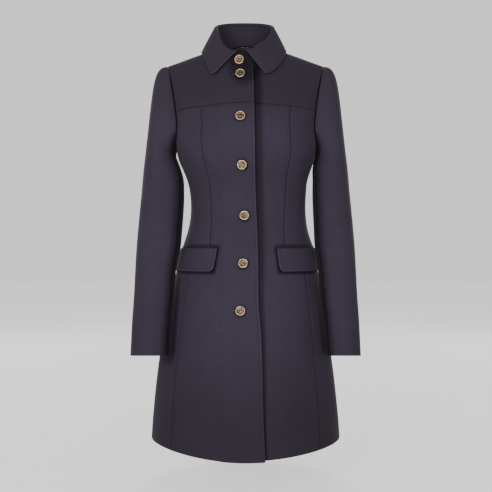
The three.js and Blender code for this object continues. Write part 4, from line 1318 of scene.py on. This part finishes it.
def dress_sleeve(side, name):
    fine = np.linspace(0, ARMHOLE_COUNT, 441)
    edge = armhole_point(side, fine)
    along = run_length(edge)
    under, whole = np.interp(ARMHOLE_COUNT / 2, fine, along), along[-1]
    turns = np.pi * np.where(along <= under, along / under, 1 + (along - under) / (whole - under))
    coarse = np.interp(np.arange(ARMHOLE_COUNT), fine, turns)
    front_seam = int(np.argmax(coarse >= FRONT_SEAM_ANGLE * DEGREE))
    back_seam = int(np.argmax(coarse >= BACK_SEAM_ANGLE * DEGREE))
    # Lines round the sleeve from the back seam over the outside to the front seam, and on
    upper = ARMHOLE_COUNT - back_seam + front_seam
    steps = np.array(EDGE_STEPS)
    by_column = steps / SLEEVE_ROUND["column"]
    first = back_seam + spread(upper, SLEEVE_ROUND["upper"], by_column, by_column)
    second = first[-1] + spread(ARMHOLE_COUNT - upper, SLEEVE_ROUND["under"], by_column, by_column)
    t = np.concatenate([first, second[1:]])
    turn = np.interp(np.mod(t, ARMHOLE_COUNT), fine, turns)
    start = armhole_point(side, t)
    cap_long, tube_long = SLEEVE_CAP["length"], SLEEVE_TUBE["length"]
    cap = spread(1.0, SLEEVE_CAP["lines"], steps / cap_long, np.array((0, 4)) / cap_long)
    tube = 1 + spread(1.0, SLEEVE_TUBE["lines"], np.array((0, 5)) / tube_long, steps / tube_long)
    climb = np.concatenate([cap, tube[1:]])
    points = sleeve_surface(side, start[:, None], turn[:, None], climb[None, :])
    normals = grid_normals(points, loop=True) * side
    lift = relief(points, SLEEVE_CREASES[side], lambda a, z: sleeve_ring(side, a * DEGREE, z))
    inside = smooth(np.cos(turn - np.pi), *SLEEVE_INSIDE)[:, None]
    z = np.clip(points[..., 2], SLEEVE_FILL[side][0][0], SLEEVE_FILL[side][-1][0])
    lift = lift + sleeve_fill[side](z) * inside
    points = points + normals * lift[..., None]
    n, m = points.shape[:2]
    from_cuff = run_length(points[:, ::-1].swapaxes(0, 1)).T[:, ::-1]
    lined = from_cuff > HEM["height"]
    thicker = hem_extra(from_cuff)
    # Painted shade on the inner side under the arm and towards the cuff, and painted light on the sleeve
    # head
    deep = smooth(np.cos(turn - np.pi), *FADE["armpit"])[:, None]
    z = points[..., 2]
    shade = SHADE["armpit"] * deep * (1 - smooth(z, *FADE["armpit_top"]))
    shade = shade + SHADE["cuff"] * smooth(-z, *FADE["cuff"]) + SHADE["cap"] * smooth(z, *FADE["cap"])
    split = len(first) - 1
    for piece, low, high in (("sleeve_upper", 0, split), ("sleeve_under", split, n - 1)):
        cells = np.zeros((n - 1, m - 1), bool)
        cells[low:high] = True
        obj, _ = shell(
            f"cloth_{piece}_{name}", points, normals, cells, grid_ends(points)[3], flip=side < 0,
            seam=seam_share(points), lined=lined, thicker=thicker, shade=shade,
        )
        dress(obj, f"{piece}_{name}")


# Collar places by their course: the angle on the left, and 360 less the angle on the right
def course_side(course):
    return np.where(course <= 180, 1, -1), np.where(course <= 180, course, 360 - course) * DEGREE


def part_out(out, way, behind):
    return out / shoulder(1, 1, way, behind)[..., 0]


def shoulder_at(side, out, y):
    behind = y > RIDGE["y"]
    sign = np.where(behind, -1, 1)

    def depth(way):
        return sign * shoulder(side, part_out(out, way, behind), way, behind)[..., 1]

    way = solve(0, 1, sign * y, depth)
    return shoulder_spot(side, part_out(out, way, behind), way, behind)


def collar_out(side, angle):
    return unit(vec(side * np.sin(angle) / ROLL_OVAL["half"], -np.cos(angle) / ROLL_OVAL["depth"], 0))


def roll_point(side, angle):
    turn = np.where(angle > np.pi, 2 * np.pi - angle, angle) / DEGREE
    height = np.where(side < 0, roll_height["right"](turn), roll_height["left"](turn))
    x = ROLL_OVAL["x"] + side * ROLL_OVAL["half"] * np.sin(angle)
    return vec(x, -ROLL_OVAL["depth"] * np.cos(angle), height)


def roll_frame(side, angle):
    out = collar_out(side, angle)
    along = roll_point(side, angle + 0.02) - roll_point(side, angle - 0.02)
    up = unit(np.cross(along, out) * -side[..., None])
    point = roll_point(side, angle)
    point = point + out * collar_lift(side, point)[..., None]
    return point, out, up


def stand_surface(side, angle, share):
    side, angle, share = np.broadcast_arrays(side, angle, share)
    reach = np.where(np.cos(angle) > 0, NECK_OVAL[False], NECK_OVAL[True])
    seam, normal = shoulder_at(side, NECK_OVAL["half"] * np.sin(angle), RIDGE["y"] - reach * np.cos(angle))
    lift = collar_lift(side, seam)
    foot = seam + collar_out(side, angle) * lift[..., None]
    foot[..., 2] += STAND_FOOT_GAP + normal[..., 2] * lift
    degrees = angle / DEGREE
    slant = STAND_END_SLANT * DEGREE * np.clip(-degrees / 15, 0, 1)
    point, _, up = roll_frame(side, np.where(side < 0, angle + slant, angle))
    bare = np.where(side < 0, 1 - smooth(degrees, *STAND_BARE), 0)
    drop = (ROLL_RADIUS + STAND_TOP_DROP + SEAM_GAP) * (1 - bare)
    return lerp(foot, point - up * drop[..., None], share[..., None])


def neck_angle(side, point):
    y = point[1] - RIDGE["y"]
    depth = NECK_OVAL[False] if y < 0 else NECK_OVAL[True]
    return math.atan2(side * point[0] / NECK_OVAL["half"], -y / depth) / DEGREE


def dress_stand():
    ends = [neck_angle(side, body_spot(side, 0.0, float(TOP_ROW))[0]) for side in (1, -1)]
    samples = np.linspace(ends[0], 360 - ends[1], 181)
    side, angle = course_side(samples)
    middle = stand_surface(side, angle, np.array(0.5))
    course = even_places(samples, middle[:, None], STITCH_STEPS, STITCH_STEPS, FINE_STEP)[:, 0]
    side, angle = course_side(course)
    share = even_shares(STAND_UP, EDGE_STEPS, EDGE_STEPS)
    points = stand_surface(side[:, None], angle[:, None], share[None, :])
    normals = grid_normals(points)
    start, end, _, top = grid_ends(points)
    # Painted shade on the front of the stand between the leaves, and a faint painted shade inside it
    in_front = (points[..., 1] < 0) * (1 - smooth(np.abs(points[..., 0]), *FADE["stand"]))
    obj, _ = shell(
        "cloth_collar_stand", points, normals, None, start | end | top, seam=seam_share(points),
        shade=SHADE["stand"] * in_front, worn=0, inside=SHADE["stand_inside"],
    )
    dress(obj, "collar_stand")


# Visible face of the leaf: fall 0 to 1 up to the roll, then 1 to 2 over it, then inside it
def leaf_surface(side, angle, edge, climb):
    point, out, up = roll_frame(side, angle)
    centre = point + out - up * ROLL_RADIUS

    def arc(turn):
        across, above = ROLL_RADIUS * np.cos(turn * DEGREE), ROLL_RADIUS * np.sin(turn * DEGREE)
        return centre + out * across[..., None] + up * above[..., None]

    begin = arc(np.full_like(climb, float(ROLL_ARC[0])))
    bend = (begin + edge) / 2 + out * LEAF_BULGE
    t = np.clip(climb, 0, 1)[..., None]
    fall = edge * (1 - t) ** 2 + 2 * bend * t * (1 - t) + begin * t * t
    over = arc(lerp(ROLL_ARC[0], ROLL_ARC[1], np.clip(climb - 1, 0, 1)))
    inside = over - up * (STAND_TOP_DROP * np.clip(climb - 2, 0, 1))[..., None]
    return np.where((climb <= 1)[..., None], fall, inside)


def leaf_edge_point(side, angle):
    degrees = angle / DEGREE
    out = np.where(side < 0, leaf_edge[-1]["out"](degrees), leaf_edge[1]["out"](degrees))
    over = np.where(side < 0, leaf_edge[-1]["way"](degrees), leaf_edge[1]["way"](degrees))
    behind = over > 1
    way = np.where(behind, 2 - over, over)
    point, normal = shoulder_spot(side, part_out(out, way, behind), way, behind)
    start = np.where(side < 0, LEAF_EDGE[-1][0][0], LEAF_EDGE[1][0][0])
    flare = LEAF_FLARE["lift"] * np.exp(-(((degrees - start) / LEAF_FLARE["reach"]) ** 2))
    lift = collar_lift(side, point) + LEAF_AIR + WALL + flare
    return point + normal * lift[..., None]


def dress_leaf():
    samples = np.linspace(LEAF_EDGE[1][0][0], 360 - LEAF_EDGE[-1][0][0], 241)
    fall = even_shares(LEAF_FALL, STITCH_STEPS, (0, 2.5))
    roll = 1 + np.linspace(0, 1, 11)[1:]
    inner = 2 + np.array([0.35, 0.7, 1])
    climb = np.concatenate([fall, roll, inner])
    side, angle = course_side(samples)
    edge = leaf_edge_point(side, angle)
    surface = leaf_surface(side[:, None], angle[:, None], edge[:, None], climb[None, :])
    # The tips are rounded: rows near the outer edge start a little further in
    height = LEAF_FALL["length"] * fall
    inset = {}
    for end, radius in LEAF_TIP.items():
        short = np.clip(radius - height, 0, radius)
        inset[end] = np.zeros(len(climb))
        inset[end][:len(fall)] = radius - np.sqrt(radius**2 - short**2)
    along = run_length(surface)
    length = along[-1]
    left = length - inset[1] - inset[-1]
    places = spread(left, LEAF_FALL["round"], STITCH_STEPS, STITCH_STEPS) + inset[1][:, None]
    course = np.array([np.interp(places[k], along[:, k], samples) for k in range(len(climb))]).T
    side, angle = course_side(course)
    edge = leaf_edge_point(side, angle)
    points = leaf_surface(side, angle, edge, np.broadcast_to(climb, course.shape))
    normals = grid_normals(points)
    start, end, low, _ = grid_ends(points)
    free = start | end | low
    obj, outer = shell(
        "cloth_collar_leaf", points, normals, None, free, seam=None,
        stitched=free & (np.arange(len(climb)) <= len(fall)),
    )
    dress(obj, "collar_leaf")

    def stitched_edge(grid):
        k, last = STITCH_LINE, len(fall) - 1
        return np.concatenate([grid[k, k:last][::-1], grid[k:-k, k], grid[-1 - k, k:last]])

    sewn = stitches("stitches_collar", [(stitched_edge(outer), stitched_edge(normals))])


# Pocket flap: its front edge slants outwards and rounds into the lower edge
def flap_rows(side, rise, start, samples, lift):
    z = POCKET_Z - FLAP["height"] + rise
    angle = lerp(angle_out(start, z, False), FLAP["end"] * DEGREE, samples)
    point, normal = ring(side, angle, z), ring_normal(side, angle, z)
    total = lap_lift(side, point[..., 0], point[..., 2]) + hip_lift(side, point) + lift
    return point + normal * total[..., None], normal


def dress_flap(side, name):
    rise = spread(FLAP["height"], 5, STITCH_STEPS, EDGE_STEPS)
    short = np.clip(FLAP["corner"] - rise, 0, FLAP["corner"])
    rounding = FLAP["corner"] - np.sqrt(FLAP["corner"] ** 2 - short**2)
    start = FLAP["front"] + FLAP["slant"] * (1 - rise / FLAP["height"]) + rounding
    samples = np.linspace(0, 1, 41)
    lift = LAYER_AIR + FLAP["wall"]
    points, _ = flap_rows(side, rise[None, :], start[None, :], samples[:, None], lift)
    share = even_places(samples, points, STITCH_STEPS, EDGE_STEPS, FINE_STEP)
    points, normals = flap_rows(side, rise[None, :], start[None, :], share, lift)
    # The lower edge stands off a little, less beside the sleeve
    off = FLAP_OFF["lift"] * (1 - smooth(rise, *FLAP_OFF["rise"])) * (1 - smooth(share, *FLAP_OFF["share"]))
    points = points + normals * off[..., None]
    front, _, low, _ = grid_ends(points)
    # Painted dark line of shade along the flap's top edge, under the welt
    shade = SHADE["flap_top"] * smooth(rise - FLAP["height"], *FADE["flap_top"])
    obj, outer = shell(
        f"cloth_pocket_flap_{name}", points, normals, None, np.ones_like(low),
        flip=side < 0, wall=FLAP["wall"], stitched=front | low, shade=np.broadcast_to(shade, low.shape),
    )
    dress(obj, f"pocket_flap_{name}")

    def stitched_edge(grid):
        k = STITCH_LINE
        return np.concatenate([grid[k, k:-2][::-1], grid[k + 1:-2, k]])

    sewn = stitches(f"stitches_pocket_flap_{name}", [(stitched_edge(outer), stitched_edge(normals))])
    # Welt above the flap
    rise = FLAP["height"] + WELT["gap"] + WELT_RISE
    first = np.full_like(rise, float(WELT["start"]))
    samples = np.linspace(0, 1, WELT_LINES)
    lift = WELT["wall"] + 0.1
    points, normals = flap_rows(side, rise[None, :], first[None, :], samples[:, None], lift)
    # The welt is painted in shade all over
    welt, _ = shell(
        f"cloth_pocket_welt_{name}", points, normals, None, np.ones(points.shape[:2], bool),
        flip=side < 0, wall=WELT["wall"], shade=SHADE["welt"], worn=0,
    )
    dress(welt)


# Button turned about its own axis: a raised rim round a dished face
def button_mesh(name, place, normal):
    radius, height, dish = BUTTON["radius"], BUTTON["height"], BUTTON["dish"]
    shank, foot = BUTTON["shank"], BUTTON["shank_height"]
    rim = [
        (radius - 1.0, foot),
        (radius - 0.35, foot + 0.35),
        (radius, BUTTON["edge"] + 0.2),
        (radius - 0.05, height - 1.1),
        (radius - 0.4, height - 0.45),
        (radius - 0.9, height - 0.08),
        (radius - 1.5, height),
        (radius - 2.1, height - 0.16),
        (radius - 2.5, height - 0.6),
    ]
    face = [
        (radius - 2.8, height - dish),
        (radius - 3.4, height - dish - 0.12),
        (radius - 3.9, height - dish + 0.12),
        (radius - 4.5, height - dish - 0.1),
        (4.4, height - dish * 1.22),
        (3.0, height - dish * 1.3),
        (1.5, height - dish * 1.12),
        (0.5, height - dish * 1.02),
    ]
    under = [(0.6, 0), (shank - 0.4, 0), (shank, 0.3), (shank, foot)]
    outline = under + rim + face
    sides = BUTTON_SIDES
    across, up = np.eye(3)[0], np.eye(3)[1]
    spots = [(0, 0, 0)]
    for r, z in outline:
        spots.extend(circle((0, 0, z), r, across, up, sides))
    spots.append((0, 0, height - dish))
    faces, kinds = [], []
    for s in range(sides):
        t = (s + 1) % sides
        faces.append([0, 1 + t, 1 + s])
        kinds.append(0)
        for k in range(len(outline) - 1):
            a, b = 1 + k * sides, 1 + (k + 1) * sides
            faces.append([a + s, a + t, b + t, b + s])
            kinds.append(1 if k >= len(under) + len(rim) - 1 else 0)
        last = 1 + (len(outline) - 1) * sides
        faces.append([last + s, last + t, len(spots) - 1])
        kinds.append(1)
    turn = Vector((0, 0, 1)).rotation_difference(Vector(normal)).to_matrix()
    spots = np.array(spots) @ np.array(turn).T + place
    obj = make_mesh(name, spots, faces)
    obj.data.materials.append(RIM)
    obj.data.materials.append(FACE)
    obj.data.polygons.foreach_set("material_index", np.array(kinds, np.int32))
    return obj


def front_button_spot(x, z):
    out = float(body["sway"](z)) - x
    if z > CHEST_Z:

        def level(at):
            return shoulder(-1, part_out(out, at, False), at, False)[..., 2]

        way = solve(0, 1, np.array(z), level)
        point, normal = shoulder_spot(-1, part_out(out, way, False), way, False)
    else:
        at = angle_out(np.array(out), z, False)
        point, normal = ring(-1, at, z), ring_normal(-1, at, z)
    return point + normal * float(lap_lift(-1, point[..., 0], point[..., 2])), normal


def dress_buttons():
    side = np.array(-1)
    angle = np.array(STAND_BUTTON["angle"] * DEGREE)
    share = np.array(STAND_BUTTON["share"])
    on_stand = stand_surface(side, angle, share)
    upright = stand_surface(side, angle, np.array(1.0)) - stand_surface(side, angle, np.array(0.0))
    across = stand_surface(side, angle - 0.02, share) - on_stand
    spots = [(on_stand, unit(np.cross(across, upright)))]
    spots += [front_button_spot(x, z) for x, z in FRONT_BUTTONS]
    for k, (point, normal) in enumerate(spots):
        turned, raised = (math.tan(angle * DEGREE) for angle in BUTTON_TILT[k])
        facing = unit(normal + (-turned, 0, raised))
        obj = button_mesh(f"turned_button_{k + 1}", point + normal * (SEAM_GAP + BUTTON_AIR), facing)
        dress(obj, f"button_{k + 1}")
    return spots


# Buttonhole beside each button: a worked ring of thread round a slit, away from the edge
def dress_buttonholes(buttons):
    spots, faces = [], []
    steps = BUTTONHOLE["steps"]
    turns = 2 * np.pi * np.arange(steps)[:, None] / steps
    for point, normal in buttons[1:]:
        across = unit(np.cross(normal, (0, 0, 1)))
        across = across if across[0] < 0 else -across
        upward = unit(np.cross(across, normal))
        upward = upward if upward[2] > 0 else -upward
        loop = point + across * (BUTTONHOLE["inset"] + BUTTONHOLE["half"] * np.cos(turns))
        loop = loop + upward * BUTTONHOLE["rise"] * np.sin(turns) - normal * BUTTONHOLE["sink"]
        rings = []
        for k in range(steps):
            way = unit(loop[(k + 1) % steps] - loop[max(k - 1, 0)])
            outward = unit(np.cross(normal, way))
            rings.append(circle(loop[k], BUTTONHOLE["thread"], outward, normal, BUTTONHOLE["sides"]))
        add_tube(spots, faces, rings, True)
    obj = make_mesh("buttonholes", spots, faces)
    obj.data.materials.append(THREAD)
    return dress(obj)


for side, name in ((-1, "right"), (1, "left")):
    made = dress_body(side, name)
    dress_sleeve(side, name)
    dress_flap(side, name)
dress_stand()
dress_leaf()
dress_buttonholes(dress_buttons())

# Floor, lights and camera, in metres
WHITE = (1, 1, 1, 1)
FLOOR = {"z": -0.95, "half": 9.0, "grey": (0.14, 0.14, 0.14, 1), "glow": 0.85}
# Lights: name, place, what each aims at, size and watts
LIGHTS = [
    ("key", (-0.95, -2.1, 0.1), (0, 0, -0.42), 0.7, 85),
    ("front", (0.45, -2.3, -0.45), (0, 0, -0.4), 0.9, 86),
    ("behind", (0, 3.0, 1.9), (0, 0, -0.42), 1.2, 150),
    ("behind_left", (1.8, 2.6, 0.2), (0, 0, -0.42), 0.9, 36),
    ("behind_right", (-1.8, 2.6, 0.2), (0, 0, -0.42), 0.9, 36),
]
CAMERA = {"place": (0.0008, -1.7, -0.4365), "half_width": 0.5535, "reach": 1.7}


def add_floor():
    mesh = bpy.data.meshes.new("floor")
    corners = [(-1, -1), (1, -1), (1, 1), (-1, 1)]
    spots = [(x * FLOOR["half"], y * FLOOR["half"], FLOOR["z"]) for x, y in corners]
    mesh.from_pydata(spots, [], [(0, 1, 2, 3)])
    floor = add_object("floor", mesh)
    material, _, shader = node_material("floor_paper")
    put(shader, {"Base Color": FLOOR["grey"], "Emission Color": WHITE, "Emission Strength": FLOOR["glow"]})
    put(shader, {"Roughness": 0.9})
    mesh.materials.append(material)


def add_light(name, place, target, size, energy):
    data = bpy.data.lights.new(name, "AREA")
    data.shape = "DISK"
    data.size = size
    data.energy = energy
    lamp = add_object(name, data)
    lamp.location = place
    lamp.rotation_euler = (Vector(target) - Vector(place)).to_track_quat("-Z", "Y").to_euler()


add_floor()
for light in LIGHTS:
    add_light(*light)
world = bpy.data.worlds.new("studio")
world.use_nodes = True
put(world.node_tree.nodes["Background"], {"Color": WHITE, "Strength": 1.0})
bpy.context.scene.world = world

camera_data = bpy.data.cameras.new("camera")
camera_data.sensor_fit = "HORIZONTAL"
camera_data.angle = 2 * math.atan(CAMERA["half_width"] / CAMERA["reach"])
camera = add_object("camera", camera_data)
camera.location = CAMERA["place"]
camera.rotation_euler = (math.pi / 2, 0, 0)
bpy.context.scene.camera = camera
